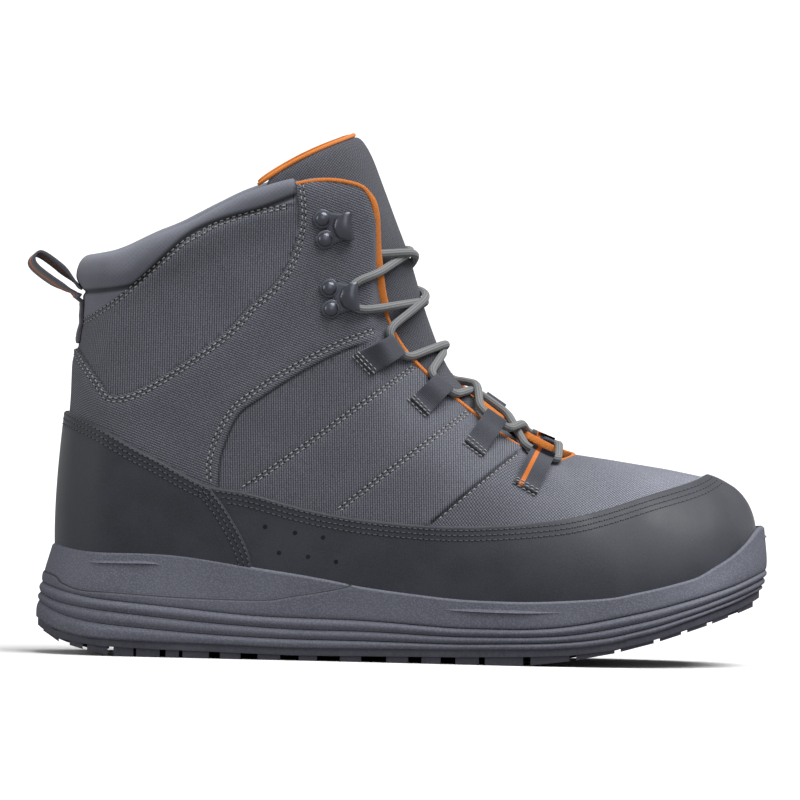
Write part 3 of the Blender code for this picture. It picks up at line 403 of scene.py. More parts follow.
class Wiring:
    """Adds nodes to a tree and joins them; a value may be a socket, a number or a list."""

    def __init__(self, tree):
        self.tree = tree

    def node(self, kind, **settings):
        node = self.tree.nodes.new(kind)
        for name, value in settings.items():
            setattr(node, name, value)
        return node

    def put(self, value, socket):
        if isinstance(value, bpy.types.NodeSocket):
            self.tree.links.new(value, socket)
        elif value is not None:
            socket.default_value = value

    def math(self, operation, a, b=None, c=None, clamp=False):
        node = self.node("ShaderNodeMath", operation=operation, use_clamp=clamp)
        for value, socket in zip((a, b, c), node.inputs):
            self.put(value, socket)
        return node.outputs[0]

    def spread(self, value, low, high, new_low=0.0, new_high=1.0, smooth=True):
        node = self.node("ShaderNodeMapRange", interpolation_type="SMOOTHSTEP" if smooth else "LINEAR")
        for place, number in enumerate((value, low, high, new_low, new_high)):
            self.put(number, node.inputs[place])
        return node.outputs[0]

    def mix(self, factor, a, b, blend="MIX"):
        node = self.node("ShaderNodeMix", data_type="RGBA", blend_type=blend)
        self.put(factor, node.inputs[0])
        self.put(colour(a), node.inputs[6])
        self.put(colour(b), node.inputs[7])
        return node.outputs[2]

    def blend(self, factor, a, b):
        node = self.node("ShaderNodeMix", data_type="FLOAT")
        self.put(factor, node.inputs[0])
        self.put(a, node.inputs[2])
        self.put(b, node.inputs[3])
        return node.outputs[0]

    def noise(self, place, scale, detail=3.0, roughness=0.55):
        node = self.node("ShaderNodeTexNoise")
        self.put(place, node.inputs["Vector"])
        self.put(scale, node.inputs["Scale"])
        self.put(detail, node.inputs["Detail"])
        self.put(roughness, node.inputs["Roughness"])
        return node.outputs[0]

    def value_of(self, name):
        return self.node("ShaderNodeAttribute", attribute_name=name).outputs["Fac"]

    def group(self, tree, **values):
        node = self.node("ShaderNodeGroup")
        node.node_tree = tree
        for name, value in values.items():
            self.put(value, node.inputs[name.replace("_", " ")])
        return node


def colour(value):
    """A colour given in display values from 0 to 255, as linear light."""
    if isinstance(value, (tuple, list)) and len(value) == 3:
        return tuple((c / 255 / 12.92) if c <= 10 else ((c / 255 + .055) / 1.055) ** 2.4
                     for c in value) + (1.0,)
    return value


def toned(tone, factor):
    """A colour in display values, made darker or lighter."""
    return tuple(min(c * factor, 255) for c in tone)


def new_group(name, inputs, outputs):
    tree = bpy.data.node_groups.new(name, "ShaderNodeTree")
    for direction, sockets in (("INPUT", inputs), ("OUTPUT", outputs)):
        for label, kind in sockets:
            tree.interface.new_socket(label, in_out=direction, socket_type="NodeSocket" + kind)
    wiring = Wiring(tree)
    return tree, wiring, wiring.node("NodeGroupInput").outputs, wiring.node("NodeGroupOutput").inputs


def plain_weave_group():
    """Height of a plain weave in the plane of two coordinates: threads pass over and under."""
    tree, w, given, put = new_group(
        "plain_weave", (("Across", "Float"), ("Along", "Float"), ("Pitch", "Float"), ("Angle", "Float"),
                        ("Lead", "Float")),
        (("Height", "Float"), ("Weft", "Float")))
    cos, sin = w.math("COSINE", given["Angle"]), w.math("SINE", given["Angle"])
    turn = w.math("DIVIDE", math.pi, given["Pitch"])
    a = w.math("ADD", w.math("MULTIPLY", given["Across"], cos), w.math("MULTIPLY", given["Along"], sin))
    b = w.math("SUBTRACT", w.math("MULTIPLY", given["Along"], cos), w.math("MULTIPLY", given["Across"], sin))
    wave_a = w.math("SINE", w.math("MULTIPLY", a, turn))
    wave_b = w.math("SINE", w.math("MULTIPLY", b, turn))
    over = w.math("MULTIPLY_ADD", w.math("MULTIPLY", wave_a, wave_b), 1.6, given["Lead"], clamp=True)
    height = w.blend(over, w.math("ABSOLUTE", wave_b), w.math("ABSOLUTE", wave_a))
    w.put(height, put["Height"])
    w.put(over, put["Weft"])
    return tree


def cloth_group():
    """The weave laid over a form from its side, its front and its top."""
    weave = bpy.data.node_groups["plain_weave"]
    tree, w, given, put = new_group(
        "cloth", (("Pitch", "Float"), ("Angle", "Float"), ("Lead", "Float")),
        (("Height", "Float"), ("Weft", "Float")))
    place = w.node("ShaderNodeTexCoord").outputs["Object"]
    split = w.node("ShaderNodeSeparateXYZ")
    w.put(place, split.inputs[0])
    x, y, z = split.outputs
    face = w.node("ShaderNodeSeparateXYZ")
    w.put(w.node("ShaderNodeNewGeometry").outputs["Normal"], face.inputs[0])
    weights = [w.math("POWER", w.math("ABSOLUTE", axis), 6.0) for axis in face.outputs]
    total = w.math("ADD", w.math("ADD", weights[0], weights[1]), weights[2])
    result = []
    for across, along in ((y, z), (x, z), (x, y)):
        result.append(w.group(weave, Across=across, Along=along, Pitch=given["Pitch"],
                              Angle=given["Angle"], Lead=given["Lead"]))
    for label in ("Height", "Weft"):
        parts = [w.math("MULTIPLY", node.outputs[label], weight) for node, weight in zip(result, weights)]
        added = w.math("ADD", w.math("ADD", parts[0], parts[1]), parts[2])
        w.put(w.math("DIVIDE", added, total), put[label])
    return tree


def grain_group():
    """Fine and broad unevenness for a surface, each about one half."""
    tree, w, given, put = new_group(
        "grain", (("Fine", "Float"), ("Broad", "Float")), (("Fine", "Float"), ("Broad", "Float")))
    place = w.node("ShaderNodeTexCoord").outputs["Object"]
    w.put(w.noise(place, given["Fine"], 4.0, .6), put["Fine"])
    w.put(w.noise(place, given["Broad"], 3.0, .5), put["Broad"])
    return tree


def new_material(name, roughness, **settings):
    """Material with a Principled shader; settings are its own plain values."""
    material = bpy.data.materials.new(name)
    material.use_nodes = True
    shader = material.node_tree.nodes["Principled BSDF"]
    shader.inputs["Roughness"].default_value = roughness
    for label, value in settings.items():
        shader.inputs[label.replace("_", " ")].default_value = value
    return material, Wiring(material.node_tree), shader


def bump(w, shader, height, distance, strength=1.0):
    node = w.node("ShaderNodeBump")
    w.put(height, node.inputs["Height"])
    w.put(distance, node.inputs["Distance"])
    w.put(strength, node.inputs["Strength"])
    w.put(node.outputs[0], shader.inputs["Normal"])


def woven_material(name, dark, light, pitch, angle, lead, shade=None, plain=None, over=None):
    """Woven cloth. Of a wiring, shade makes a factor on the tone with painted shade and light, plain a mask
    of smooth bands, over a second weave with its mask, and angle may be the weave's turn from panel to panel."""
    material, w, shader = new_material(name, .82, Sheen_Weight=.12, Sheen_Roughness=.5,
                                       Specular_IOR_Level=.3)
    lay = angle(w) if callable(angle) else angle
    cloth = w.group(bpy.data.node_groups["cloth"], Pitch=pitch, Angle=lay, Lead=lead)
    grain = w.group(bpy.data.node_groups["grain"], Fine=1400.0, Broad=38.0)
    height, weft = cloth.outputs["Height"], cloth.outputs["Weft"]
    if over:
        other, mask = over(w, pitch, lead)
        height = w.blend(mask, height, other.outputs["Height"])
        weft = w.blend(mask, weft, other.outputs["Weft"])
    thread = w.math("MULTIPLY", w.math("POWER", height, 1.1),
                    w.spread(grain.outputs["Fine"], .3, .7, .66, 1.16, smooth=False))
    if plain:
        flat = plain(w)
        thread = w.blend(flat, thread, w.spread(grain.outputs["Fine"], .3, .7, .56, .66, smooth=False))
        height = w.blend(flat, height, w.math("MULTIPLY", grain.outputs["Fine"], .3))
    body = w.mix(thread, dark, light)
    tone = w.blend(weft, .95, 1.05)
    tone = w.math("MULTIPLY", tone, w.spread(grain.outputs["Broad"], .3, .7, .93, 1.06))
    if shade:
        tone = w.math("MULTIPLY", tone, shade(w))
    grey = w.node("ShaderNodeCombineColor")
    for socket in grey.inputs[:3]:
        w.put(tone, socket)
    w.put(w.mix(1.0, body, grey.outputs[0], "MULTIPLY"), shader.inputs["Base Color"])
    w.put(w.spread(height, 0.0, 1.0, .95, .75), shader.inputs["Roughness"])
    bump(w, shader, height, .00016, .75)
    return material


def below_edge(w, panel):
    """Mask of the lower cloth beside a raised panel's edge, where its attribute is above 0."""
    return w.math("GREATER_THAN", w.value_of(panel), 0.0)


def seam_shade(w):
    """Painted shade in the seams' troughs."""
    return w.spread(w.value_of("trough"), 0.0, 1.0, 1.0, .3)


def upper_material(light):
    """Main fabric: the weave turns from panel to panel, and the collar's band is finer."""
    def angle(w):
        lay = w.blend(below_edge(w, "quarter"), math.radians(70), math.radians(2))
        return w.blend(below_edge(w, "ankle"), lay, 0.0)

    def over(w, pitch, lead):
        weave = w.group(bpy.data.node_groups["plain_weave"], Across=w.value_of("run"),
                        Along=w.value_of("unrolled"), Pitch=pitch, Angle=math.radians(-42), Lead=lead * .62)
        return weave, below_edge(w, "vamp")

    def plain(w):
        return w.spread(w.value_of("collar"), .0008, .0012)

    def shade(w):
        collar = w.spread(w.value_of("collar"), .0008, .0012, 1.0, 1.4)
        # The vamp is lighter, most of all towards the toe: partly its own paler fabric, partly painted light
        # where its top faces the top light.
        near = w.spread(w.value_of("run"), .14, .24, .95, 1.95)
        vamp = w.blend(below_edge(w, "vamp"), 1.0, near)
        return w.math("MULTIPLY", w.math("MULTIPLY", seam_shade(w), collar), vamp)

    return woven_material("boot_fabric", (26, 26, 31), light, .00098, angle, 1.0, shade, plain, over)


def nubuck_material(name, tone):
    """Nubuck: soft short nap, paler where it is rubbed, with a faint pebble, and painted shade along its
    rolled edge.
    """
    material, w, shader = new_material(name, .66, Sheen_Weight=.45, Sheen_Roughness=.4,
                                       Specular_IOR_Level=.42)
    grain = w.group(bpy.data.node_groups["grain"], Fine=2600.0, Broad=55.0)
    rubbed = w.spread(grain.outputs["Broad"], .35, .7, 0.0, .5)
    nap = w.spread(grain.outputs["Fine"], .3, .7, 0.0, 1.0, smooth=False)
    base = w.mix(nap, toned(tone, .72), toned(tone, 1.12))
    edge = w.spread(w.value_of("edge"), 0.0, .0014, 1.0, 0.0)
    base = w.mix(w.math("MULTIPLY", rubbed, .5), base, toned(tone, 1.35))
    # Darker towards the rolled edge: painted shade where the edge rolls down to the fabric.
    base = w.mix(w.math("MULTIPLY", edge, .35), base, (26, 26, 31))
    w.put(base, shader.inputs["Base Color"])
    w.put(w.spread(grain.outputs["Broad"], .3, .7, .52, .66), shader.inputs["Roughness"])
    bump(w, shader, w.math("ADD", grain.outputs["Fine"], grain.outputs["Broad"]), .00012, .5)
    return material


def foam_material(light):
    """Moulded foam: fine pebble, darker in the grooves as painted shade, rubbed along the ribs."""
    material, w, shader = new_material("boot_foam", .62, Specular_IOR_Level=.4)
    grain = w.group(bpy.data.node_groups["grain"], Fine=1500.0, Broad=30.0)
    pebble = w.node("ShaderNodeTexVoronoi", feature="F1")
    w.put(w.node("ShaderNodeTexCoord").outputs["Object"], pebble.inputs["Vector"])
    w.put(1150.0, pebble.inputs["Scale"])
    cell = w.spread(pebble.outputs["Distance"], 0.0, .7, 1.0, 0.0)
    base = w.mix(cell, (98, 100, 112), light)
    base = w.mix(w.spread(grain.outputs["Broad"], .4, .75, 0.0, .3), base, (122, 124, 137))
    # Painted shade in the grooves.
    base = w.mix(w.value_of("groove"), base, (22, 22, 28))
    w.put(base, shader.inputs["Base Color"])
    w.put(w.spread(grain.outputs["Broad"], .3, .7, .55, .72), shader.inputs["Roughness"])
    bump(w, shader, w.math("ADD", w.math("MULTIPLY", cell, .7), grain.outputs["Fine"]), .00011, .6)
    return material


def rubber_material(light):
    """Outsole rubber: matt, mottled and slightly worn."""
    material, w, shader = new_material("boot_rubber", .68, Specular_IOR_Level=.35)
    grain = w.group(bpy.data.node_groups["grain"], Fine=900.0, Broad=60.0)
    base = w.mix(grain.outputs["Fine"], (62, 62, 71), light)
    base = w.mix(w.spread(grain.outputs["Broad"], .5, .75, 0.0, .3), base, (114, 114, 125))
    w.put(base, shader.inputs["Base Color"])
    w.put(w.spread(grain.outputs["Broad"], .3, .7, .6, .82), shader.inputs["Roughness"])
    bump(w, shader, grain.outputs["Fine"], .0001, .4)
    return material


def ribbed_material(name, dark, light, attribute, ribs, stripe=None, middle=0.0, half=0.0):
    """Webbing with ribs along its length, and a coloured stripe along it if asked."""
    material, w, shader = new_material(name, .8, Sheen_Weight=.15, Specular_IOR_Level=.3)
    across = w.value_of(attribute)
    grain = w.group(bpy.data.node_groups["grain"], Fine=2400.0, Broad=90.0)
    wave = w.math("ABSOLUTE", w.math("SINE", w.math("MULTIPLY", across, math.pi / ribs)))
    base = w.mix(w.math("MULTIPLY", wave, w.spread(grain.outputs["Fine"], .3, .7, .7, 1.1)), dark, light)
    if stripe:
        from_stripe = w.math("ABSOLUTE", w.math("SUBTRACT", across, middle))
        mask = w.spread(from_stripe, half - .0002, half + .0002, 1.0, 0.0)
        base = w.mix(mask, base, w.mix(wave, toned(stripe, .7), stripe))
    w.put(base, shader.inputs["Base Color"])
    bump(w, shader, w.math("ADD", wave, grain.outputs["Fine"]), .00018, .6)
    return material


def cord_material(name, dark, light, ribs, slant):
    """Round cord or binding: ribs that wind slowly round it, from its own length map."""
    material, w, shader = new_material(name, .78, Sheen_Weight=.2, Specular_IOR_Level=.3)
    split = w.node("ShaderNodeSeparateXYZ")
    w.put(w.node("ShaderNodeUVMap", uv_map="length_map").outputs[0], split.inputs[0])
    turn = w.math("ADD", w.math("MULTIPLY", split.outputs[0], ribs),
                  w.math("MULTIPLY", split.outputs[1], slant))
    wave = w.math("ABSOLUTE", w.math("SINE", w.math("MULTIPLY", turn, math.pi)))
    knots = w.math("ABSOLUTE", w.math("SINE", w.math("MULTIPLY", split.outputs[1], math.pi / .0011)))
    grain = w.group(bpy.data.node_groups["grain"], Fine=2600.0, Broad=120.0)
    body = w.math("MULTIPLY", w.math("MULTIPLY_ADD", knots, .25, .75), wave)
    body = w.math("MULTIPLY", body, w.spread(grain.outputs["Fine"], .3, .7, .75, 1.12))
    w.put(w.mix(body, dark, light), shader.inputs["Base Color"])
    bump(w, shader, body, .00022, .7)
    return material


def plain_material(name, tone, roughness, **settings):
    """A finish with a fine grain and slight mottling."""
    material, w, shader = new_material(name, roughness, **settings)
    grain = w.group(bpy.data.node_groups["grain"], Fine=1800.0, Broad=140.0)
    base = w.mix(grain.outputs["Broad"], toned(tone, .8), toned(tone, 1.15))
    w.put(base, shader.inputs["Base Color"])
    w.put(w.spread(grain.outputs["Broad"], .3, .7, roughness * .85, min(roughness * 1.15, 1)),
          shader.inputs["Roughness"])
    bump(w, shader, grain.outputs["Fine"], .00005, .3)
    return material


class BootStageSettings(bpy.types.PropertyGroup):
    """Where the picture is taken from and how it is lit."""
    distance: bpy.props.FloatProperty(name="Distance", description="Camera to the boot's near side",
                                      default=12.0, unit="LENGTH")
    elevation: bpy.props.FloatProperty(name="Elevation", description="Camera's angle above level",
                                       default=math.radians(1.5), subtype="ANGLE")
    sun: bpy.props.FloatProperty(name="Top light", description="Strength of the broad light above",
                                 default=3.9)
    sky: bpy.props.FloatProperty(name="Room light", description="Strength of the light all round",
                                 default=.22)
    front: bpy.props.FloatProperty(name="Front light", description="Power of the front light, in watts",
                                   default=4.5)
    floor_tone: bpy.props.FloatProperty(name="Floor", description="Brightness of the floor", default=.95)
    bounce: bpy.props.FloatProperty(name="Bounce", description="Share of light the floor throws back",
                                    default=.2)


def colour_property(name, description, *display):
    """A colour as it looks on a screen, given from 0 to 255."""
    return bpy.props.FloatVectorProperty(name=name, description=description, subtype="COLOR_GAMMA",
                                         min=0, max=1, default=[c / 255 for c in display])


class BootColourSettings(bpy.types.PropertyGroup):
    """Colours of the boot's finishes."""
    fabric: colour_property("Fabric", "Raised threads of the upper", 124, 126, 137)
    tongue: colour_property("Tongue", "Raised threads of the tongue", 102, 104, 113)
    lining: colour_property("Lining", "Lining and foot bed", 66, 66, 75)
    rand: colour_property("Rand", "Nubuck of the rand", 55, 58, 66)
    counter: colour_property("Counter", "Nubuck of the heel counter", 54, 57, 65)
    foam: colour_property("Foam", "Raised pebble of the midsole", 120, 122, 135)
    rubber: colour_property("Rubber", "Pale mottling of the outsole", 102, 102, 115)
    binding: colour_property("Binding", "Ribs of the bound edges", 246, 150, 62)
    webbing: colour_property("Webbing", "Ribs of the lace loops", 88, 90, 100)
    pull: colour_property("Pull loop", "Ribs of the pull loop", 128, 128, 137)
    stripe: colour_property("Stripe", "Stripe along the webbing", 235, 130, 48)
    metal: colour_property("Hooks", "Hooks and their rivets", 96, 98, 108)
    thread: colour_property("Pale thread", "Stitches on the fabric", 164, 164, 165)
    dark_thread: colour_property("Dark thread", "Stitches on the nubuck", 84, 82, 94)


class BootUpperSettings(bpy.types.PropertyGroup):
    """Relief of the upper and its overlays."""
    seam_depth: bpy.props.FloatProperty(name="Seam depth", description="Depth of a stitched trough",
                                        default=.00045, unit="LENGTH")
    panel_step: bpy.props.FloatProperty(name="Panel step", description="Height of a panel's edge",
                                        default=.0007, unit="LENGTH")
    rand_stand: bpy.props.FloatProperty(name="Rand", description="Rand's face above the fabric",
                                        default=.0017, unit="LENGTH")
    counter_stand: bpy.props.FloatProperty(name="Counter", description="Counter's face above the fabric",
                                           default=.0024, unit="LENGTH")


class BootStitchSettings(bpy.types.PropertyGroup):
    """Size of the stitches."""
    length: bpy.props.FloatProperty(name="Length", description="Length of one stitch",
                                    default=.0017, unit="LENGTH")
    pitch: bpy.props.FloatProperty(name="Pitch", description="Start of one stitch to the next",
                                   default=.0027, unit="LENGTH")
    radius: bpy.props.FloatProperty(name="Thread", description="Thickness of the thread, halved",
                                    default=.00026, unit="LENGTH")


class BootLaceSettings(bpy.types.PropertyGroup):
    """The lace."""
    radius: bpy.props.FloatProperty(name="Radius", description="Half the lace's thickness",
                                    default=.00175, unit="LENGTH")
    tone: bpy.props.FloatVectorProperty(name="Colour", description="Colour of the lace's ribs",
                                        default=(.26, .27, .275), subtype="COLOR")


# What an operator leaves for the ones after it: surfaces, seam lines, materials and fixed points.
KEPT = {}


class BootOperator:
    """Shared settings of the operators below."""
    bl_options = {"REGISTER", "UNDO"}

    def execute(self, context):
        self.make(context.scene)
        return {"FINISHED"}


class BOOT_OT_stage(BootOperator, bpy.types.Operator):
    """Camera at the photograph's angle, a pale floor and soft lights"""
    bl_idname = "boot.make_stage"
    bl_label = "Make Stage"

    def make(self, scene):
        settings = scene.boot_stage
        scene.view_settings.view_transform = "Standard"
        world = bpy.data.worlds.new("studio")
        scene.world = world
        world.use_nodes = True
        w = Wiring(world.node_tree)
        seen = w.node("ShaderNodeLightPath").outputs["Is Camera Ray"]
        back = world.node_tree.nodes["Background"]
        back.inputs["Color"].default_value = (1, 1, 1, 1)
        w.put(w.blend(seen, settings.sky, 1.0), back.inputs["Strength"])

        centre = from_picture(PICTURE_SIZE / 2, PICTURE_SIZE / 2)
        target = Vector((centre[0], -.045, centre[1]))
        width = PICTURE_SCALE * PICTURE_SIZE
        data = bpy.data.cameras.new("boot_camera")
        data.sensor_width = 36
        data.lens = data.sensor_width * settings.distance / width
        data.clip_end = 100
        camera = bpy.data.objects.new("boot_camera", data)
        scene.collection.objects.link(camera)
        rise = settings.elevation
        back_off = Vector((0, -math.cos(rise), math.sin(rise)))
        camera.location = target + back_off * settings.distance
        turn = (-back_off).to_track_quat("-Z", "Y").to_matrix()
        camera.rotation_euler = (turn @ Matrix.Rotation(PICTURE_TILT, 3, "Z")).to_euler()
        scene.camera = camera

        bpy.ops.mesh.primitive_plane_add(size=60, location=(0, 0, 0))
        floor = bpy.context.object
        floor.name = "floor"
        material, w, shader = new_material("floor", .95, Specular_IOR_Level=0.0)
        seen = w.node("ShaderNodeLightPath").outputs["Is Camera Ray"]
        tone = w.blend(seen, settings.floor_tone * settings.bounce, settings.floor_tone)
        w.put(tone, shader.inputs["Base Color"])
        floor.data.materials.append(material)
        sun = bpy.data.lights.new("top_light", "SUN")
        sun.energy = settings.sun
        sun.angle = math.radians(50)
        self.place(scene, sun, (.38, -.17, .91), (0, 0, 0))
        for name, place, size, power in (("front_light", (.5, -1.7, .9), 1.2, settings.front),
                                         ("heel_light", (-1.4, -.4, .5), .8, settings.front * 1.3)):
            light = bpy.data.lights.new(name, "AREA")
            light.size = size
            light.energy = power
            self.place(scene, light, place, (.1, 0, .1))

    def place(self, scene, light, place, aim):
        """Hangs a light at a place, turned towards its aim."""
        lamp = bpy.data.objects.new(light.name, light)
        lamp.location = place
        lamp.rotation_euler = (Vector(aim) - Vector(place)).to_track_quat("-Z", "Y").to_euler()
        scene.collection.objects.link(lamp)


class BOOT_OT_finishes(BootOperator, bpy.types.Operator):
    """Node groups and materials of the boot"""
    bl_idname = "boot.make_finishes"
    bl_label = "Make Finishes"

    def make(self, scene):
        plain_weave_group()
        cloth_group()
        grain_group()
        tones = {name: tuple(255 * c for c in getattr(scene.boot_colours, name))
                 for name in BootColourSettings.__annotations__}
        lace = [255 * (1.055 * c ** (1 / 2.4) - .055) for c in scene.boot_lace.tone]
        stripe, dark_rib, rib = tones["stripe"], (42, 43, 50), .0006
        KEPT["materials"] = {
            "fabric": upper_material(tones["fabric"]),
            "tongue": woven_material("tongue_fabric", (22, 23, 27), tones["tongue"], .0009,
                                     math.radians(-35), .6),
            "lining": plain_material("lining_fabric", tones["lining"], .9),
            "rand": nubuck_material("rand_nubuck", tones["rand"]),
            "counter": nubuck_material("counter_nubuck", tones["counter"]),
            "foam": foam_material(tones["foam"]),
            "rubber": rubber_material(tones["rubber"]),
            "binding": cord_material("orange_binding", (214, 112, 40), tones["binding"], 40, 420),
            "lace": cord_material("lace_cord", toned(lace, .68), toned(lace, 1), 9, 14),
            "webbing": ribbed_material("loop_webbing", dark_rib, tones["webbing"], "across", rib),
            "striped": ribbed_material("striped_webbing", dark_rib, tones["webbing"], "across", rib,
                                       stripe, -.0022, .0009),
            "pull": ribbed_material("pull_webbing", (72, 72, 80), tones["pull"], "across", .0011,
                                    stripe, 0.0, .0016),
            "metal": plain_material("hook_metal", tones["metal"], .3, Metallic=.6),
            "thread": plain_material("pale_thread", tones["thread"], .7, Sheen_Weight=.2),
            "dark_thread": plain_material("dark_thread", tones["dark_thread"], .7, Sheen_Weight=.2),
            # Near-black material of painted shade, for the needle holes and the vent holes.
            "hole": plain_material("needle_dark", (20, 20, 23), .9),
        }


class BOOT_OT_upper(BootOperator, bpy.types.Operator):
    """Fabric upper with its panels, seams and padded collar, and its lining"""
    bl_idname = "boot.make_upper"
    bl_label = "Make Upper"

    def make(self, scene):
        settings = scene.boot_upper
        cage = node_copy("upper", "boot_upper")
        bm = bmesh.new()
        bm.from_mesh(cage.data)
        outer = flood(bm, Vector((-.037, 0, .1)), math.radians(50))
        inner = flood(bm, Vector((-.02, 0, .09)), math.radians(50))
        for face in bm.faces:
            face.material_index = 0 if face in outer else 2 if face in inner else 1
        self.keep_edge(bm, outer)
        bm.to_mesh(cage.data)
        bm.free()
        for _ in range(3):
            cage.data.materials.append(None)
        smooth_through(cage, 3)
        KEPT["edge"] = self.settle_edge(cage)

        lining = new_object("upper_lining", cage.data.copy())
        drop_faces(lining.data, lambda f: f.material_index != 2)
        finish_piece(lining, "upper_fabric", KEPT["materials"]["lining"])
        drop_faces(cage.data, lambda f: f.material_index == 2)
        mesh = cage.data
        set_vectors(mesh, "out", vertex_normals(mesh))
        KEPT["bare"] = mesh.copy()

        lines = self.seam_lines()
        flat = coords(mesh)[:, [0, 2]]
        near = np.full(len(flat), 1.0)
        for line in lines.values():
            near = np.minimum(near, np.abs(signed_distance(flat, line)[0]))
        rim = signed_distance(flat, side_line(RAND_EDGE))[0]
        split_near(cage, (near < .0034) & (rim > -.002), 2)
        self.raise_relief(mesh, lines, settings)
        finish_piece(cage, "upper_fabric", KEPT["materials"]["fabric"], "upper")
        mesh.shade_smooth()
        KEPT["skin"] = tree_of(cage)

    def keep_edge(self, bm, outer):
        """Remembers the corners along the collar and the throat, in order."""
        links = {}
        bm.verts.ensure_lookup_table()
        for face in outer:
            for edge in face.edges:
                others = [f for f in edge.link_faces if f not in outer]
                if others and min(v.co.z for v in edge.verts) > .06:
                    a, b = edge.verts
                    links.setdefault(a.index, []).append((b.index, others[0]))
                    links.setdefault(b.index, []).append((a.index, others[0]))
        start = min(links, key=lambda i: bm.verts[i].co.x)
        order, before, here = [start], None, start
        while True:
            ahead = [i for i, _ in links[here] if i != before]
            if before is None:
                ahead.sort(key=lambda i: bm.verts[i].co.y)
            if ahead[0] == start:
                break
            order.append(ahead[0])
            before, here = here, ahead[0]
        partners = []
        for index in order:
            beyond = Vector((0, 0, 0))
            for _, rim in links[index]:
                beyond += rim.normal
            vertex = bm.verts[index]
            inside = [e.other_vert(vertex) for e in vertex.link_edges
                      if not any(f in outer for f in e.link_faces)]
            partners.append((inside[0].index if inside else index, beyond.normalized()))
        self.order, self.partners = order, partners

    def settle_edge(self, obj):
        """Edge line of the smoothed upper: points, the way off the edge and the way through the wall."""
        points = coords(obj.data)
        outer = points[self.order]
        inner = points[[i for i, _ in self.partners]]
        beyond = np.array([tuple(b) for _, b in self.partners])
        rows = np.hstack([(outer + inner) / 2, beyond, outer - inner])
        rows = np.vstack([rows, rows[:1]])
        line = resampled(smooth_line(rows, 12), .0012)
        line[:, 3:6] = unit(line[:, 3:6])
        return line

    def seam_lines(self):
        """Seams and panel edges as side lines, by name."""
        lines = {"collar": picture_line(COLLAR_SEAM), "groove": picture_line(COLLAR_GROOVE),
                 "ankle": picture_line(ANKLE_SEAM),
                 "quarter": picture_line(QUARTER_SEAM), "quarter_edge": picture_line(QUARTER_EDGE),
                 "vamp": picture_line(VAMP_SEAM)}
        for number, seam in enumerate(FLEX_SEAMS):
            lines["flex_%d" % number] = picture_line(seam)
        KEPT["lines"] = lines
        return lines

    def raise_relief(self, mesh, lines, settings):
        """Troughs along the stitching, steps at the panels' edges and the collar's soft roll."""
        points = coords(mesh)
        out = unit(get_vectors(mesh, "out"))
        flat = points[:, [0, 2]]
        distance = {name: signed_distance(flat, line)[0] for name, line in lines.items()}
        depth, step, rounding = settings.seam_depth, settings.panel_step, .0006
        height = np.zeros(len(points))
        trough = np.zeros(len(points))
        behind = 1 - ease((flat[:, 0] - from_picture(294, 200)[0]) / .0012)
        for name, centre, width, where in (
                ("collar", -.0005, .0016, behind), ("ankle", -.0005, .0015, 1), ("quarter", 0, .0015, 1),
                ("flex_0", 0, .0013, 1), ("flex_1", 0, .0013, 1), ("vamp", 0, .0008, 1)):
            height -= depth * bump_shape(distance[name] - centre, width) * where
        groove = distance["groove"]
        roll = .0022 * ease(groove / .007) * bump_shape(np.maximum(groove - .007, 0), .02)
        height += (roll - .0012 * bump_shape(groove, .0011)) * behind
        # Painted shade in the collar's groove.
        trough += 1.15 * bump_shape(groove - .0002, .0012) * behind
        heel = 1 + 1.8 * ease((-.012 - flat[:, 0]) / .02)
        below_loops = flat[:, 0] < from_picture(362, 340)[0]
        for panel, inside, lift, fall, dark, width, where in (
                ("ankle", .0017 - distance["ankle"], heel, .012, .8, .0004, 1),
                ("quarter", distance["quarter_edge"], 1, .008, .95, .0006, below_loops),
                ("vamp", distance["vamp"], 1, .006, .9, .0006, 1)):
            height += step * lift * ease(inside / rounding) * bump_shape(np.maximum(inside, 0), fall)
            beside = 0 if panel == "vamp" else .0002
            # Painted shade at the foot of each raised panel edge.
            trough += dark * bump_shape(inside + beside, width) * where
            set_value(mesh, panel, -inside)
        under = signed_distance(flat, side_line(RAND_EDGE))[0]
        height *= ease((under + .003) / .003)
        set_coords(mesh, points + out * height[:, None])
        # trough holds the painted shade that seam_shade reads.
        set_value(mesh, "trough", np.clip(trough, 0, 1))
        set_value(mesh, "collar", np.where(behind > .5, distance["collar"], -1))
        set_value(mesh, "run", points[:, 0])
        set_value(mesh, "unrolled", .05 * np.arctan2(np.abs(points[:, 1]), points[:, 2] - .03))


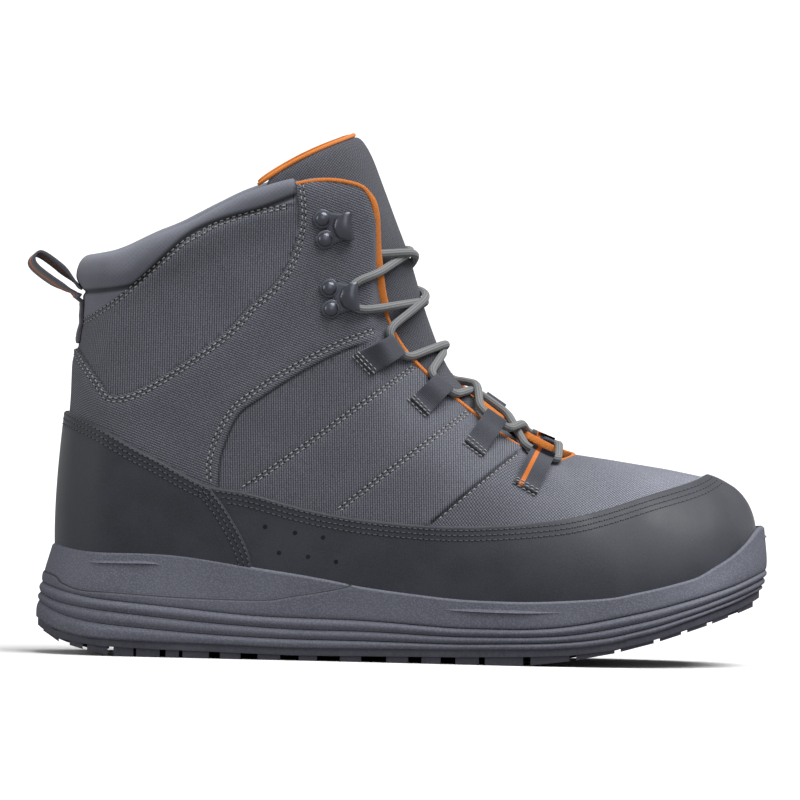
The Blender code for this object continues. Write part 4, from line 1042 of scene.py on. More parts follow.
class BOOT_OT_overlays(BootOperator, bpy.types.Operator):
    """Nubuck rand and heel counter, with rolled edges, and vent holes as discs of painted shade"""
    bl_idname = "boot.make_overlays"
    bl_label = "Make Overlays"

    def make(self, scene):
        settings = scene.boot_upper
        rand_line, counter_line = side_line(RAND_EDGE), side_line(COUNTER_EDGE)
        materials = KEPT["materials"]

        def rand_reach(flat):
            above, grow = signed_distance(flat, rand_line)
            behind, back = signed_distance(flat, shifted(counter_line, -.003))
            return self.nearest(((above, grow), (-behind, -back)))

        def counter_reach(flat):
            return self.nearest((signed_distance(flat, rand_line), signed_distance(flat, counter_line)))

        for name, node, reach, stand in (("boot_rand", "rand", rand_reach, settings.rand_stand),
                                         ("boot_counter", "heel_counter", counter_reach,
                                          settings.counter_stand)):
            obj = self.overlay(name, reach, stand)
            finish_piece(obj, "nubuck", materials[node.replace("heel_", "")], node)
            KEPT[node] = tree_of(obj)
        self.vents(materials["hole"])

    def nearest(self, pairs):
        """The larger of several signed distances, with the way it grows."""
        (a, grow_a), (b, grow_b) = pairs
        first = a > b
        return np.where(first, a, b), np.where(first[:, None], grow_a, grow_b)

    def overlay(self, name, reach, stand):
        """Piece of the bare skin where reach is below 0, raised with a rolled edge."""
        obj = new_object(name, KEPT["bare"].copy())
        mesh = obj.data
        gap = reach(coords(mesh)[:, [0, 2]])[0]
        drop_faces(mesh, lambda f: min(gap[v.index] for v in f.verts) > .003 or f.material_index == 1)
        gap = reach(coords(mesh)[:, [0, 2]])[0]
        split_near(obj, np.abs(gap) < .0036, 3)
        gap = reach(coords(mesh)[:, [0, 2]])[0]
        drop_faces(mesh, lambda f: sum(gap[v.index] for v in f.verts) > 0)
        points = coords(mesh)
        out = unit(get_vectors(mesh, "out"))
        gap, grow = reach(points[:, [0, 2]])
        bm = bmesh.new()
        bm.from_mesh(mesh)
        border = np.array([v.is_boundary for v in bm.verts])
        bm.free()
        border &= np.abs(gap) < .0025
        slope = np.stack([grow[:, 0], np.zeros(len(grow)), grow[:, 1]], axis=1)
        slope -= out * (slope * out).sum(axis=1)[:, None]
        size = np.maximum((slope ** 2).sum(axis=1), .09)
        points[border] -= (slope * (gap / size)[:, None])[border]
        gap[border] = 0
        roll = .0011
        share = np.clip(-gap / roll, 0, 1)
        rise = np.sqrt(np.clip(1 - (1 - share) ** 2, 0, 1)) * (stand + .0004) - .0004
        set_coords(mesh, points + out * rise[:, None])
        set_value(mesh, "edge", -gap)
        mesh.shade_smooth()
        return obj

    def vents(self, material):
        """Small round dark discs on the rand on both sides: painted shade for its vent holes."""
        bm = bmesh.new()
        for side in (-1, 1):
            for pixel in VENT_HOLES:
                x, z = from_picture(*pixel)
                spot, normal = seen_from_side(KEPT["rand"], x, z, side)
                if spot is None:
                    continue
                turn = normal.to_track_quat("Z", "Y").to_matrix().to_4x4()
                turn.translation = spot + normal * .00005
                bmesh.ops.create_circle(bm, cap_ends=True, radius=.00095, segments=14, matrix=turn)
        mesh = bpy.data.meshes.new("vent_holes")
        bm.to_mesh(mesh)
        bm.free()
        finish_piece(new_object("vent_holes", mesh), "nubuck", material)


class BOOT_OT_midsole(BootOperator, bpy.types.Operator):
    """Foam cup with its grooves and rounded lip"""
    bl_idname = "boot.make_midsole"
    bl_label = "Make Midsole"

    def make(self, scene):
        obj = node_copy("midsole", "boot_midsole")
        tree = tree_of(obj)
        bm = bmesh.new()
        bm.from_mesh(obj.data)
        under = flood(bm, Vector((.1, 0, 0)), math.radians(22))
        row = self.number_rows(bm, under)
        doomed = [f for f in bm.faces if f in under or max(v[row] for v in f.verts) > WALL_ROW]
        bmesh.ops.delete(bm, geom=doomed, context="FACES")
        for vertex in bm.verts:
            for edge in vertex.link_edges:
                other = edge.other_vert(vertex)
                if vertex[row] not in GROOVE_ROWS and other[row] in GROOVE_ROWS:
                    vertex.co.z += (other.co.z - vertex.co.z) * .6
                    break
        self.raise_wall(bm, row, tree)
        bm.to_mesh(obj.data)
        bm.free()
        smooth_through(obj, 3)
        mesh = obj.data
        panel = side_line(FOAM_PANEL)
        split_near(obj, np.abs(signed_distance(coords(mesh)[:, [0, 2]], panel)[0]) < .0020, 3)
        self.shape_ribs(mesh, panel)
        self.close_lip(obj)
        finish_piece(obj, "foam", KEPT["materials"]["foam"], "midsole")

    def number_rows(self, bm, under):
        """Counts each corner's row upwards from the edge of the underside."""
        layer = bm.verts.layers.float.new("row")
        floor = {v for face in under for v in face.verts}
        front = [v for v in floor if any(f not in under for f in v.link_faces)]
        row, seen = 0, set(floor)
        while front:
            following = []
            for vertex in front:
                vertex[layer] = row
                for edge in vertex.link_edges:
                    other = edge.other_vert(vertex)
                    if other not in seen:
                        seen.add(other)
                        following.append(other)
            front, row = following, row + 1
        return layer

    def raise_wall(self, bm, row, tree):
        """Carries the wall on from its top groove to the lip, along the solid's own side."""
        here = min((v for v in bm.verts if v.is_boundary and v[row] == WALL_ROW), key=lambda v: v.co.x)
        loop, before = [], None
        while here not in loop:
            loop.append(here)
            near = [e.other_vert(here) for e in here.link_edges if e.is_boundary]
            here, before = next(v for v in near if v is not before), here
        base = [v.co.copy() for v in loop]
        count = len(loop)
        way = []
        for k in range(count):
            run = base[(k + 1) % count] - base[k - 1]
            out = Vector((run.y, -run.x, 0)).normalized()
            way.append(out if out.dot(base[k] - Vector((.1, 0, 0))) > 0 else -out)
        top = []
        step, jump, aside = .0003, .0015, .02
        for start, out in zip(base, way):
            place, reach = start.copy(), 0.0
            while True:
                place.z += step
                hit = tree.ray_cast(place + out * aside, -out)[0]
                if hit is None or abs((hit - place).dot(out) - reach) > jump:
                    break
                reach = (hit - place).dot(out)
            top.append(place.z)
        for _ in range(2):
            top = [max(top[k], (top[k - 1] + top[(k + 1) % count]) / 2) for k in range(count)]
        last, kept = loop, []
        for number, share in ((10, .3), (11, .65), (12, .95)):
            places = [Vector((start.x, start.y, start.z + (top[k] - start.z) * share))
                      for k, start in enumerate(base)]
            if number == 12:
                reach = [b + (b - a) * .86 for a, b in zip(*kept)]
            else:
                reach = []
                for k, place in enumerate(places):
                    hit = tree.ray_cast(place + way[k] * aside, -way[k])[0]
                    held = (last[k].co - place).dot(way[k])
                    near = hit is not None and abs((hit - place).dot(way[k]) - held) < .004
                    reach.append((hit - place).dot(way[k]) if near else held)
                for _ in range(3):
                    reach = [(reach[k - 1] + 2 * reach[k] + reach[(k + 1) % count]) / 4
                             for k in range(count)]
                kept.append(reach)
            ring = []
            for place, out, gap in zip(places, way, reach):
                vertex = bm.verts.new(place + out * gap)
                vertex[row] = number
                ring.append(vertex)
            for k in range(count):
                j = (k + 1) % count
                bm.faces.new((last[k], last[j], ring[j], ring[k]))
            last = ring
        bmesh.ops.recalc_face_normals(bm, faces=bm.faces)

    def shape_ribs(self, mesh, panel):
        """Swells the ribs between the grooves and sinks the panel above them."""
        rows = np.empty(len(mesh.vertices), dtype=np.float32)
        mesh.attributes["row"].data.foreach_get("value", rows)
        out = vertex_normals(mesh)
        swell = np.zeros(len(rows))
        for start, height in ((3, .0003), (6, .0004), (0, .0003)):
            share = np.clip(rows - start, 0, 1)
            swell += height * np.sin(math.pi * share)
        above = signed_distance(coords(mesh)[:, [0, 2]], panel)[0]
        swell -= (.0004 * bump_shape(above, .0004) + .0006 * ease(above / .0006)) * (rows > WALL_ROW)
        set_coords(mesh, coords(mesh) + out * swell[:, None])
        # The groove value is the painted shade of the foam's grooves and of the panel's edge above the ribs.
        groove = .9 * bump_shape(above, .0004) * (rows > WALL_ROW)
        for middle in GROOVE_ROWS:
            groove = np.maximum(groove, bump_shape(rows - middle, .5))
        set_value(mesh, "groove", groove)

    def close_lip(self, obj):
        """Rounds the lip inwards until the rand hides it, and turns the lower edge under."""
        bm = bmesh.new()
        bm.from_mesh(obj.data)
        bm.normal_update()
        row = bm.verts.layers.float.get("row")
        # Each step is a distance inwards and one upwards, both from the border.
        lip_steps = ((.0009, .0007), (.0024, .0006), (.0060, -.0040))
        under_steps = ((.0010, -.0004), (.0080, -.0004))
        for upper, steps in ((True, lip_steps), (False, under_steps)):
            loop = [e for e in bm.edges if e.is_boundary
                    and (min(v[row] for v in e.verts) > 5) == upper]
            last = (0, 0)
            for inward, rise in steps:
                made = bmesh.ops.extrude_edge_only(bm, edges=loop)["geom"]
                for vertex in (v for v in made if isinstance(v, bmesh.types.BMVert)):
                    ways = [f.normal for f in vertex.link_faces if f.calc_area() > 1e-12]
                    near = [e.other_vert(vertex) for e in vertex.link_edges]
                    base = [v for v in near if v not in made]
                    level = Vector((0, 0, 0))
                    for v in base:
                        level += Vector((v.normal.x, v.normal.y, 0))
                    if level.length < 1e-6:
                        for way in ways:
                            level += Vector((way.x, way.y, 0))
                    level = level.normalized()
                    vertex.co += -level * (inward - last[0]) + Vector((0, 0, rise - last[1]))
                    vertex.normal = level
                loop = [e for e in made if isinstance(e, bmesh.types.BMEdge)]
                last = (inward, rise)
        bmesh.ops.recalc_face_normals(bm, faces=bm.faces)
        bm.to_mesh(obj.data)
        bm.free()
        obj.data.shade_smooth()


class BOOT_OT_outsole(BootOperator, bpy.types.Operator):
    """Rubber outsole with rounded lugs, and the insole's finish"""
    bl_idname = "boot.make_outsole"
    bl_label = "Make Outsole"

    def make(self, scene):
        obj = node_copy("outsole", "boot_outsole")
        round_edges(obj, .0009, 2, sharper_than=32)
        bpy.ops.object.shade_smooth_by_angle(angle=math.radians(40))
        finish_piece(obj, "sole_rubber", KEPT["materials"]["rubber"], "outsole")
        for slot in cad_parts["insole"].material_slots:
            slot.material = KEPT["materials"]["lining"]


class BOOT_OT_tongue(BootOperator, bpy.types.Operator):
    """Padded tongue and its bound edge"""
    bl_idname = "boot.make_tongue"
    bl_label = "Make Tongue"

    def make(self, scene):
        tongue = smooth_through(node_copy("tongue", "boot_tongue"), 3)
        set_value(tongue.data, "trough", np.zeros(len(tongue.data.vertices)))
        finish_piece(tongue, "tongue_fabric", KEPT["materials"]["tongue"], "tongue")
        KEPT["tongue"] = tree_of(tongue)
        piping = smooth_through(node_copy("tongue_piping", "boot_tongue_binding"), 2, hold=.9)
        set_coords(piping.data, coords(piping.data) - vertex_normals(piping.data) * .0005)
        layer = piping.data.uv_layers.get("length_map") or piping.data.uv_layers.new(name="length_map")
        points = coords(piping.data)
        for loop in piping.data.loops:
            place = points[loop.vertex_index]
            layer.data[loop.index].uv = (place[0] * 60, place[1])
        finish_piece(piping, "piping", KEPT["materials"]["binding"], "tongue_piping")


class BOOT_OT_binding(BootOperator, bpy.types.Operator):
    """Orange binding along the flaps and the throat"""
    bl_idname = "boot.make_binding"
    bl_label = "Make Binding"

    def make(self, scene):
        edge = KEPT["edge"]
        sides = 16
        front = np.where(edge[:, 0] > .0455)[0]
        line = edge[front[0]:front[-1] + 1]
        # The binding is wide on the flaps, which stand in front of the ankle, and narrow elsewhere.
        flap = ease((line[:, 2] - .143) / .008) * ease((line[:, 0] - .088) / .008)
        wide = .0010 + .0010 * flap
        beyond = line[:, 3:6] * np.stack([np.ones(len(line)), 1 - .97 * flap, np.ones(len(line))], axis=1)
        beyond = unit(beyond)
        end = np.minimum(np.arange(len(line)), np.arange(len(line))[::-1])
        wide = wide * (.35 + .65 * ease(end / 6))
        path = line[:, 0:3] + beyond * (.0003 + .0013 * flap)[:, None]
        for _ in range(12):
            turn = np.where(path[1:-1, 0] > .160, .5, 0)[:, None]
            path[1:-1] += ((path[:-2] + path[2:]) / 2 - path[1:-1]) * turn
        wall = np.linalg.norm(line[:, 6:9], axis=1)
        thick = wall / 2 + .0007
        obj = tube("boot_binding", path, sides, 1, beyond)
        points = coords(obj.data).reshape(len(path), sides, 3)
        offset = points - path[:, None, :]
        ahead, aside = offset[:, 0], offset[:, sides // 4]
        angle = np.arange(sides) * 2 * math.pi / sides
        square = [np.sign(f) * np.abs(f) ** .55 for f in (np.cos(angle), np.sin(angle))]
        points = (path[:, None, :] + ahead[:, None, :] * square[0][None, :, None] * wide[:, None, None]
                  + aside[:, None, :] * square[1][None, :, None] * thick[:, None, None])
        set_coords(obj.data, points.reshape(-1, 3))
        finish_piece(obj, "piping", KEPT["materials"]["binding"],
                     "collar_piping_outer", "collar_piping_inner")


class Patch:
    """Four-cornered piece of the skin, seen from one side; s runs to the fold and t across."""

    def __init__(self, corners, side, shift):
        self.corners = [np.array(corner) + shift for corner in corners]
        self.side = side
        middle = [self.spot(s, t) for s in (.1, .5, .9) for t in (.1, .5, .9)]
        self.out = sum((normal for _, normal in middle), Vector()).normalized()
        self.length = (self.spot(1, .5)[0] - self.spot(0, .5)[0]).length

    def spot(self, s, t):
        tail = self.corners[0] * (1 - t) + self.corners[1] * t
        fold = self.corners[2] * (1 - t) + self.corners[3] * t
        x, z = tail * (1 - s) + fold * s
        hit, normal = seen_from_side(KEPT["skin"], x, z, self.side)
        if hit is None or hit.y * self.side < .002:
            near, normal, _, _ = KEPT["skin"].find_nearest(Vector((x, self.side * .022, z)))
            hit = Vector((x, near.y, z))
        return hit, normal if normal.y * self.side > 0 else -normal

    def place(self, s, t, height):
        return np.array(self.spot(s, t)[0] + self.out * height)


class BOOT_OT_loops(BootOperator, bpy.types.Operator):
    """Folded webbing loops with their tunnels, and the pull loop at the heel"""
    bl_idname = "boot.make_loops"
    bl_label = "Make Loops"

    def make(self, scene):
        materials = KEPT["materials"]
        self.lace = scene.boot_lace.radius
        KEPT["eyes"], KEPT["tacks"] = {}, []
        for name, side in (("outer", -1), ("inner", 1)):
            for number, pixels in enumerate(LOOP_STRAPS, 1):
                corners = [from_picture(*pixel) for pixel in pixels]
                shift = self.shift_to(side, corners[2])
                patch = Patch(corners, side, shift)
                obj = self.strap("webbing_loop_%s_%d" % (name, number), patch)
                finish_piece(obj, "webbing", materials["striped" if number == 4 else "webbing"],
                             "lace_loop_%s_%d" % (name, number))
                tack = [np.array(from_picture(*pixel)) + shift for pixel in BAR_TACKS[number - 1]]
                KEPT["tacks"].append((side, tack))
                centre = 1 - (self.lace + WEBBING) / patch.length
                KEPT["eyes"][name, number] = [patch.place(centre, t, self.lace + .0011)
                                              for t in (-.22, .1, .5, .9, 1.22)]
        self.pull_loop(materials["pull"])

    def pull_loop(self, material):
        """Folded strip at the heel: twisted at its tip, with its tail laid on the collar."""
        pull = node_copy("pull_loop", "boot_pull_loop")
        self.crease_strip(pull, Vector((0, 1, 0)))
        smooth_through(pull, 3, hold=.9)
        points = coords(pull.data)
        set_value(pull.data, "across", points[:, 1])
        tip = ease((-.030 - points[:, 0]) / .008)
        points += np.outer(points[:, 1] * tip * -.22, (.74, 0, .67))
        before = points.copy()
        for k in np.where(points[:, 2] < .157)[0]:
            x, y, z = before[k]
            hit = KEPT["skin"].ray_cast(Vector((-.2, y, z)), Vector((1, 0, 0)))[0]
            slice_x = before[np.abs(before[:, 2] - z) < .0015][:, 0]
            target = hit.x - .0001 - (slice_x.max() - x)
            points[k, 0] += (target - x) * float(ease((.157 - z) / .006))
        set_coords(pull.data, points)
        finish_piece(pull, "webbing", material, "pull_loop")

    def shift_to(self, side, corner):
        """Way from a corner near the outer throat edge to its like near the inner one."""
        if side < 0:
            return np.zeros(2)
        edge = KEPT["edge"]
        outer, inner = edge[edge[:, 1] < -.002], edge[edge[:, 1] > .002]
        near = outer[np.argmin(((outer[:, [0, 2]] - corner) ** 2).sum(axis=1))]
        inner = inner[inner[:, 0] > .09]
        like = inner[np.argmin(np.abs(inner[:, 0] - near[0]) + np.abs(inner[:, 2] - near[2]) * .3)]
        return (like - near)[[0, 2]] + np.array((0, -.001))

    def strap(self, name, patch):
        """Strip that lies on the skin from its tack, folds round the lace and runs back."""
        thick, length = WEBBING, patch.length
        fold = self.lace + thick
        top = [(d * length, thick + (2 * fold - 1.5 * thick) * float(ease((d - .1) / .5)))
               for d in (-.06, .05, .15, .25, .35, .45, .55, .62)]
        top = [(d, h) for d, h in top if d < length - fold - .0006]
        turn = [(length - fold + (fold - thick / 2) * math.cos(math.radians(a)),
                 fold + (fold - thick / 2) * math.sin(math.radians(a))) for a in range(90, -91, -20)]
        under = [(d * length, .0005) for d in (.55, .35, .15, -.02)]
        under = [(d, h) for d, h in under if d < length - fold - .0006]
        centre = np.array(top + turn + under)
        way = np.gradient(centre, axis=0)
        way /= np.linalg.norm(way, axis=1)[:, None]
        side = np.stack([-way[:, 1], way[:, 0]], axis=1) * thick / 2
        columns = 9
        rows = np.vstack([centre + side, (centre - side)[::-1]])
        points = []
        for k in range(columns):
            t = k / (columns - 1)
            points += [patch.place(d / length, t, h) for d, h in rows]
        count = len(rows)
        faces = []
        for k in range(columns - 1):
            for j in range(count):
                i = (j + 1) % count
                faces.append((k * count + j, k * count + i, (k + 1) * count + i, (k + 1) * count + j))
        half = len(centre)
        for base in (0, (columns - 1) * count):
            for j in range(half - 1):
                faces.append((base + j, base + j + 1, base + count - 2 - j, base + count - 1 - j))
        obj = modelled(name, points, faces)
        set_value(obj.data, "across", np.repeat(np.linspace(-.5, .5, columns), count) * .0105)
        point_outwards(obj)
        round_edges(obj, .00025, 2, sharper_than=60)
        obj.data.shade_smooth()
        return obj

    def crease_strip(self, obj, axis):
        """Keeps the long edges of a strip sharp and its bends round."""
        mesh = obj.data
        layer = mesh.attributes.new("crease_edge", "FLOAT", "EDGE")
        bm = bmesh.new()
        bm.from_mesh(mesh)
        values = []
        for edge in bm.edges:
            way = (edge.verts[0].co - edge.verts[1].co).normalized()
            sharp = edge.is_manifold and edge.calc_face_angle(0) > math.radians(50)
            values.append(.85 if sharp and abs(way.dot(axis)) < .6 else 0.0)
        bm.free()
        layer.data.foreach_set("value", values)


def hook_sheet():
    """Plate, bend and head of a hook as one curved sheet."""
    line = []  # rows from the plate's rear to the head's tip: x, z, half the width, and 1 within the head
    for x, half in ((.0012, .0072), (.0034, .0071), (.0056, .0064), (.0076, .0057), (.0094, .0057)):
        line.append((x, .0005, half, 0))
    for k in range(1, 8):
        angle = math.radians(-90 + 180 * k / 8)
        line.append((.0098 + .0024 * math.cos(angle), .0029 + .0024 * math.sin(angle), .0061, 0))
    for k in range(9):
        u = k / 8
        half = .0060 - .0020 * math.sin(u * math.pi / 2) - .0016 * u ** 6
        line.append((.0092 - .0050 * u, .0053 - .0014 * u * u, half, 1))
    across = 11
    points = []
    for row, (x, z, half, head) in enumerate(line):
        crown = .0013 if head else .0013 * max(row - 5, 0) / 7
        notch = .0010 * math.exp(-((row - 9) / 3.2) ** 2)
        for i in range(across):
            v = i / (across - 1) * 2 - 1
            tail = .0007 * v * v * (row >= len(line) - 2)
            points.append((x - notch * (1 - v * v) + tail, v * half, z - crown * v * v))
    faces = [(k * across + i, k * across + i + 1, (k + 1) * across + i + 1, (k + 1) * across + i)
             for k in range(len(line) - 1) for i in range(across - 1)]
    sheet = modelled("hook_sheet", points, faces)
    wall = sheet.modifiers.new("wall", "SOLIDIFY")
    wall.thickness, wall.offset = .0010, 0
    select_only(sheet)
    bpy.ops.object.modifier_apply(modifier=wall.name)
    add_smoothing(sheet, 1)
    bpy.ops.object.modifier_apply(modifier="smooth")
    return sheet


def hook_form():
    """A speed hook at the origin: x is forward, y up and z away from the boot."""
    sheet = hook_sheet()
    parts = [sheet]
    half = .0044  # from the hook's middle to a rivet
    for sign in (-1, 1):
        bpy.ops.mesh.primitive_cylinder_add(vertices=32, radius=.0041, depth=.0011,
                                            location=(0, sign * half, .00055))
        lobe = bpy.context.object
        round_edges(lobe, .0004, 3, sharper_than=30)
        bpy.ops.mesh.primitive_uv_sphere_add(segments=28, ring_count=16, radius=.0031,
                                             location=(0, sign * half, .0011))
        rivet = bpy.context.object
        rivet.scale = (1, 1, .66)
        parts += [lobe, rivet]
    bpy.ops.object.select_all(action="DESELECT")
    for part in parts:
        part.select_set(True)
    bpy.context.view_layer.objects.active = sheet
    bpy.ops.object.transform_apply(location=True, rotation=True, scale=True)
    bpy.ops.object.join()
    bpy.ops.object.shade_smooth_by_angle(angle=math.radians(40))
    mesh = sheet.data.copy()
    bpy.data.objects.remove(sheet, do_unlink=True)
    return mesh


class BOOT_OT_hooks(BootOperator, bpy.types.Operator):
    """Speed hooks with their rivets"""
    bl_idname = "boot.make_hooks"
    bl_label = "Make Hooks"

    def make(self, scene):
        form = hook_form()  # modelled once; each hook below is a copy with its own mesh
        KEPT["hooks"] = {}
        for side in ("outer", "inner"):
            sign = -1 if side == "outer" else 1
            for number in (1, 2):
                node = "lace_hook_%s_%d" % (side, number)
                (px, py), (qx, qy) = HOOK_RIVETS[number - 1]
                x, z = from_picture((px + qx) / 2, (py + qy) / 2)
                hit, normal = seen_from_side(KEPT["skin"], x, z, sign)
                normal = normal if normal.y * sign > 0 else -normal
                ahead = Vector((qy - py, 0, qx - px))
                ahead = (ahead - normal * ahead.dot(normal)).normalized()
                up = normal.cross(ahead)
                turn = Matrix((ahead, up, normal)).transposed().to_4x4()
                turn.translation = hit + normal * .0001
                mesh = form.copy()
                mesh.transform(turn)
                obj = new_object("speed_hook_%s_%d" % (side, number), mesh)
                finish_piece(obj, "hook_metal", KEPT["materials"]["metal"], node)
                KEPT["hooks"][side, number] = turn


class BOOT_OT_lace(BootOperator, bpy.types.Operator):
    """One lace through the loops and the lower hooks"""
    bl_idname = "boot.make_lace"
    bl_label = "Make Lace"

    def make(self, scene):
        self.radius = scene.boot_lace.radius
        halves = []
        for side, other in (("outer", "inner"), ("inner", "outer")):
            run, place = [("tuck", side), ("hook", other)], other
            for number in (1, 2, 3, 4):
                place = "outer" if place == "inner" else "inner"
                run.append((number, place))
            halves.append(run)
        path = [(0, self.stop(*stop)) for stop in halves[0]]
        path += [(1, self.stop(*stop)[::-1]) for stop in reversed(halves[1])]
        points, pinned, half = [], [], []
        for (first, pins), (second, after) in zip(path, path[1:] + [(0, None)]):
            points += list(pins)
            pinned += [True] * len(pins)
            half += [first] * len(pins)
            if after is None:
                break
            start, end = pins[-1], after[0]
            count = max(int(np.linalg.norm(end - start) / .0022), 2)
            for k in range(1, count):
                points.append(start + (end - start) * k / count)
                pinned.append(False)
                half.append(first if first == second else 2)
        points, pinned, half = np.array(points), np.array(pinned), np.array(half)
        out = self.ways(points)
        points = self.lay_on(points, pinned, out)
        points = self.settle(points, pinned, half, out)
        line = smooth_line(points, 3)
        obj = tube("boot_lace", line, 14, self.radius, carried_sides(line, (.3, .2, 1)))
        finish_piece(obj, "lace_cord", KEPT["materials"]["lace"], "lace_bar",
                     *["lace_crossing_%d" % k for k in range(1, 6)])

    def ways(self, points):
        """Outward way of the throat at each point: ahead at the ankle, upwards at the toe."""
        rise = np.radians(56 - 35 * np.clip((points[:, 2] - .105) / .03, 0, 1))
        return np.stack([np.cos(rise), np.zeros(len(points)), np.sin(rise)], axis=1)

    def stop(self, kind, side):
        """Fixed points of the lace at a loop, a hook or a tucked end, from the top down."""
        if kind == "tuck":
            edge = KEPT["edge"]
            sign = -1 if side == "outer" else 1
            near = edge[(edge[:, 1] * sign > 0) & (edge[:, 0] > .08)]
            point = near[np.argmin(np.abs(near[:, 2] - .1715))][:3]
            marks = []
            for back in (-.010, -.004, .002):
                spot, normal, _, _ = KEPT["tongue"].find_nearest(Vector(point) + Vector((back, 0, 0)))
                marks.append(np.array(spot + normal * self.radius * 1.02))
            return marks
        if kind == "hook":
            turn = KEPT["hooks"][side, 2]
            height = self.radius + .0010
            return [np.array(turn @ Vector((x, y, height))) for x, y in
                    ((.0100, .0062), (.0078, .0040), (.0068, .0014), (.0068, -.0014), (.0078, -.0040),
                     (.0100, -.0062))]
        return KEPT["eyes"][side, kind]

    def lay_on(self, points, pinned, out):
        """Lifts the strands out onto the tongue and the flaps."""
        points = points.copy()
        for k in np.where(~pinned)[0]:
            start, way = Vector(points[k]), Vector(out[k])
            lifts = [0.0]
            for name in ("tongue", "skin"):
                hit = KEPT[name].ray_cast(start + way * .05, -way)
                if hit[0] is not None:
                    lifts.append((hit[0] - start).dot(way) + self.radius)
            points[k] = np.array(start + way * min(max(lifts), .045))
        return points

    def settle(self, points, pinned, half, out):
        """Pulls the lace tight over what it rests on, the first half over the second."""
        radius = self.radius
        inside = ~pinned
        inside[[0, -1]] = False
        free = np.where(inside)[0]
        over = np.where((half == 0) & inside)[0]
        under = np.where(half == 1)[0]
        for _ in range(300):
            for _ in range(3):
                middle = (points[free - 1] + points[free + 1]) / 2
                points[free] += (middle - points[free]) * .6
            between = points[over][:, None, :] - points[under][None, :, :]
            way = out[over][:, None, :]
            height = (between * way).sum(axis=2)
            apart = np.linalg.norm(between - way * height[:, :, None], axis=2)
            needed = np.sqrt(np.maximum(4 * radius ** 2 - apart ** 2, 0)) - height
            lift = np.where((apart < 2 * radius) & (np.abs(height) < .012), needed, 0).max(axis=1)
            points[over] += out[over] * (np.clip(lift, 0, .003) * .5)[:, None]
            for k in free:
                points[k] = self.clear(Vector(points[k]))
        for _ in range(5):
            points[1:-1] += ((points[:-2] + points[2:]) / 2 - points[1:-1]) * .5
        return points

    def clear(self, here):
        """Moves a point of the lace out of the tongue and the skin."""
        radius = self.radius
        spot, normal, _, _ = KEPT["tongue"].find_nearest(here, .02)
        if spot is not None:
            above = (here - spot).dot(normal)
            if above < radius:
                here = here + normal * (radius - above)
        spot, normal, _, gap = KEPT["skin"].find_nearest(here, .008)
        if spot is not None:
            away = here - spot
            above = away.dot(normal)
            if above < 0 and (away - normal * above).length < .5 * abs(above):
                here = spot + normal * radius
            elif gap < radius:
                here = spot + (away.normalized() if gap > 1e-6 and above > 0 else normal) * radius
        return here


def stitch_mesh(name, spots, size, radius):
    """One mesh of many short raised stitches; a spot is a middle, the way along and outward."""
    middle = np.array([s[0] for s in spots])
    along = unit(np.array([s[1] for s in spots]))
    out = np.array([s[2] for s in spots])
    side = unit(np.cross(out, along))
    places = np.array((-1, -.62, 0, .62, 1)) * size / 2
    heights = np.array((-.5, .35, .75, .35, -.5)) * radius
    widths = np.array((.45, .95, 1.05, .95, .45)) * radius
    angles = np.arange(5) * 2 * math.pi / 5
    points = []
    for place, height, width in zip(places, heights, widths):
        for angle in angles:
            points.append(middle + along * place + out * (height + width * math.sin(angle))
                          + side * width * math.cos(angle))
    points = np.stack(points, axis=1)
    count = points.shape[1]
    faces = []
    for r in range(4):
        for j in range(5):
            k = (j + 1) % 5
            faces.append((r * 5 + j, (r + 1) * 5 + j, (r + 1) * 5 + k, r * 5 + k))
    faces = faces + [tuple(range(5)), tuple(reversed(range(20, 25)))]
    every = [tuple(i * count + v for v in face) for i in range(len(spots)) for face in faces]
    obj = modelled(name, points.reshape(-1, 3), every)
    point_outwards(obj)
    obj.data.shade_smooth()
    return obj


def stitch_spots(line, side, tree, size, pitch, start=0.0):
    """Stitches along a side line (x, z), laid on the surface that a tree holds."""
    path, outs = [], []
    if len(line) < 2:
        return []
    for x, z in resampled(line, .0006):
        spot, normal = seen_from_side(tree, x, z, side)
        if spot is not None and spot.y * side > -.001:
            path.append(np.array(spot))
            outs.append(np.array(normal))
    if len(path) < 4:
        return []
    path, outs = np.array(path), np.array(outs)
    length = lengths_along(path)
    spots = []
    for begin in np.arange(start, length[-1] - size, pitch):
        ends = [np.array([np.interp(begin + d, length, path[:, k]) for k in range(3)]) for d in (0, size)]
        out = np.array([np.interp(begin + size / 2, length, outs[:, k]) for k in range(3)])
        middle, along = (ends[0] + ends[1]) / 2, ends[1] - ends[0]
        if np.linalg.norm(along) > size * .3:
            spots.append((middle, along, out / np.linalg.norm(out)))
    return spots


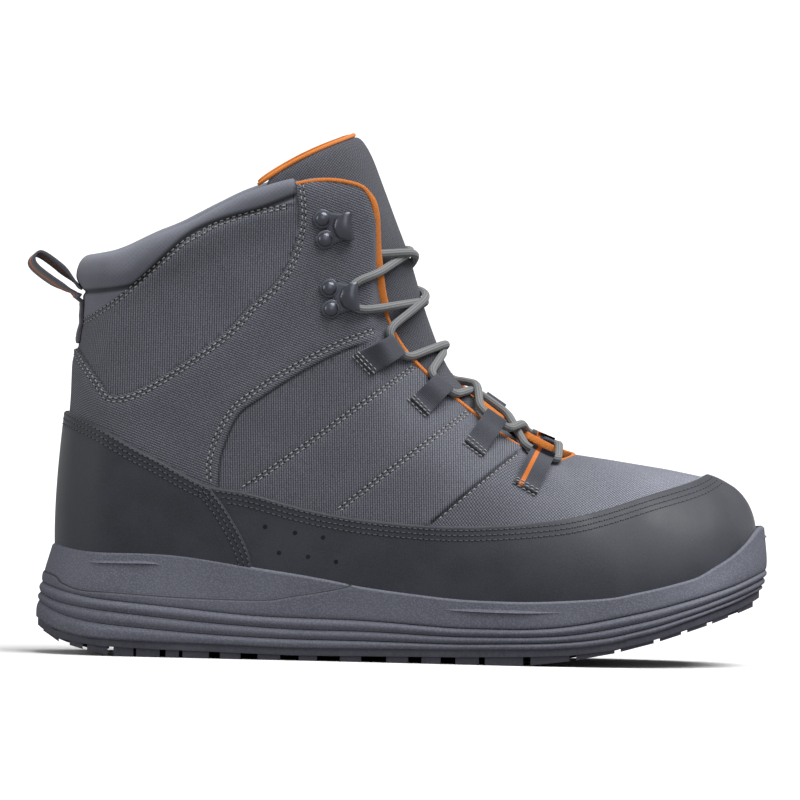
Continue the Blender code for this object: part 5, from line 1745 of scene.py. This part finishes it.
class BOOT_OT_stitches(BootOperator, bpy.types.Operator):
    """Stitching of the fabric, the overlays and the bar-tacks"""
    bl_idname = "boot.make_stitches"
    bl_label = "Make Stitches"

    def make(self, scene):
        settings = scene.boot_stitch
        self.size, self.pitch = settings.length, settings.pitch
        self.pale, self.dark, self.holes = [], [], []
        lines = KEPT["lines"]
        beside, across = (.0003, -.0012), (-.0008, .0008)
        rows = (("collar", beside), ("ankle", beside), ("quarter", across), ("flex_0", across),
                ("flex_1", across), ("vamp", (-.0009,)))
        rand_line, counter_line = side_line(RAND_EDGE), side_line(COUNTER_EDGE)
        for side in (-1, 1):
            for name, offsets in rows:
                for offset in offsets:
                    line = shifted(lines[name], offset)
                    line = line[signed_distance(line, rand_line)[0] > .001]
                    self.sew(line, side, KEPT["skin"], self.pale, 1.0)
            for offset in (.0018, .0039, .0060):
                line = shifted(rand_line, -offset)
                line = line[(line[:, 0] > -.06) & (line[:, 0] < .262)]
                behind = signed_distance(line, counter_line)[0]
                self.sew(line[behind > -.0002], side, KEPT["rand"], self.dark, .9)
                self.sew(line[behind < -.0012], side, KEPT["heel_counter"], self.dark, .9)
                line = shifted(counter_line, -offset)
                below = signed_distance(line, rand_line)[0] < -.0012
                self.sew(line[below & (line[:, 1] > .036)], side, KEPT["heel_counter"], self.dark, .9)
        for side, corners in KEPT["tacks"]:
            self.tack(side, corners)
        size, radius = self.size, settings.radius
        materials = KEPT["materials"]
        finish_piece(stitch_mesh("pale_stitches", self.pale, size, radius), "lace_cord",
                     materials["thread"])
        finish_piece(stitch_mesh("dark_stitches", self.dark, size * .9, radius * .9), "nubuck",
                     materials["dark_thread"])
        # Dark marks at the needle holes: painted shade.
        finish_piece(stitch_mesh("needle_holes", self.holes, (self.pitch - size) * .8, radius * 1.25),
                     "upper_fabric", materials["hole"])

    def sew(self, line, side, tree, threads, spare):
        """Row of stitches with dark marks of painted shade for its needle holes between them."""
        size, pitch = self.size * spare, self.pitch * spare
        gap = (pitch - size) * .8
        threads += stitch_spots(line, side, tree, size, pitch)
        for middle, along, out in stitch_spots(line, side, tree, gap, pitch, size + (pitch - size) * .1):
            self.holes.append((middle - out * .00025, along, out))

    def tack(self, side, corners):
        """Close rows of short stitches within a bar-tack's four corners."""
        a, b, c, d = corners
        for k in range(3):
            share = (k + .5) / 3
            start, end = a + (b - a) * share, d + (c - d) * share
            for j in range(5):
                s = (j + .35 + .3 * (k % 2)) / 5
                flat = start + (end - start) * s
                spot, normal = seen_from_side(KEPT["skin"], flat[0], flat[1], side)
                if spot is None:
                    continue
                run = (end - start) / np.linalg.norm(end - start)
                along = Vector((run[0], 0, run[1]))
                along = along - normal * along.dot(normal)
                lift = .0014 if k else .0004
                self.pale.append((np.array(spot + normal * lift), np.array(along), np.array(normal)))


class BOOT_PT_panel(bpy.types.Panel):
    """Lists the boot's operators"""
    bl_idname = "BOOT_PT_panel"
    bl_label = "Wading Boot"
    bl_space_type = "VIEW_3D"
    bl_region_type = "UI"
    bl_category = "Boot"

    def draw(self, context):
        for operator in OPERATORS:
            self.layout.operator(operator.bl_idname)


OPERATORS = (BOOT_OT_stage, BOOT_OT_finishes, BOOT_OT_upper, BOOT_OT_overlays, BOOT_OT_midsole,
             BOOT_OT_outsole, BOOT_OT_tongue, BOOT_OT_binding, BOOT_OT_loops, BOOT_OT_hooks,
             BOOT_OT_lace, BOOT_OT_stitches)
SETTINGS = (("boot_stage", BootStageSettings), ("boot_colours", BootColourSettings),
            ("boot_upper", BootUpperSettings), ("boot_stitch", BootStitchSettings),
            ("boot_lace", BootLaceSettings))


def register():
    for name, kind in SETTINGS:
        bpy.utils.register_class(kind)
        setattr(bpy.types.Scene, name, bpy.props.PointerProperty(type=kind))
    for kind in OPERATORS + (BOOT_PT_panel,):
        bpy.utils.register_class(kind)


def unregister():
    for kind in reversed(OPERATORS + (BOOT_PT_panel,)):
        bpy.utils.unregister_class(kind)
    for name, kind in reversed(SETTINGS):
        delattr(bpy.types.Scene, name)
        bpy.utils.unregister_class(kind)


def main():
    bpy.ops.object.select_all(action="DESELECT")
    register()
    for operator in OPERATORS:
        group, name = operator.bl_idname.split(".")
        getattr(getattr(bpy.ops, group), name)()


if __name__ == "__main__":
    main()
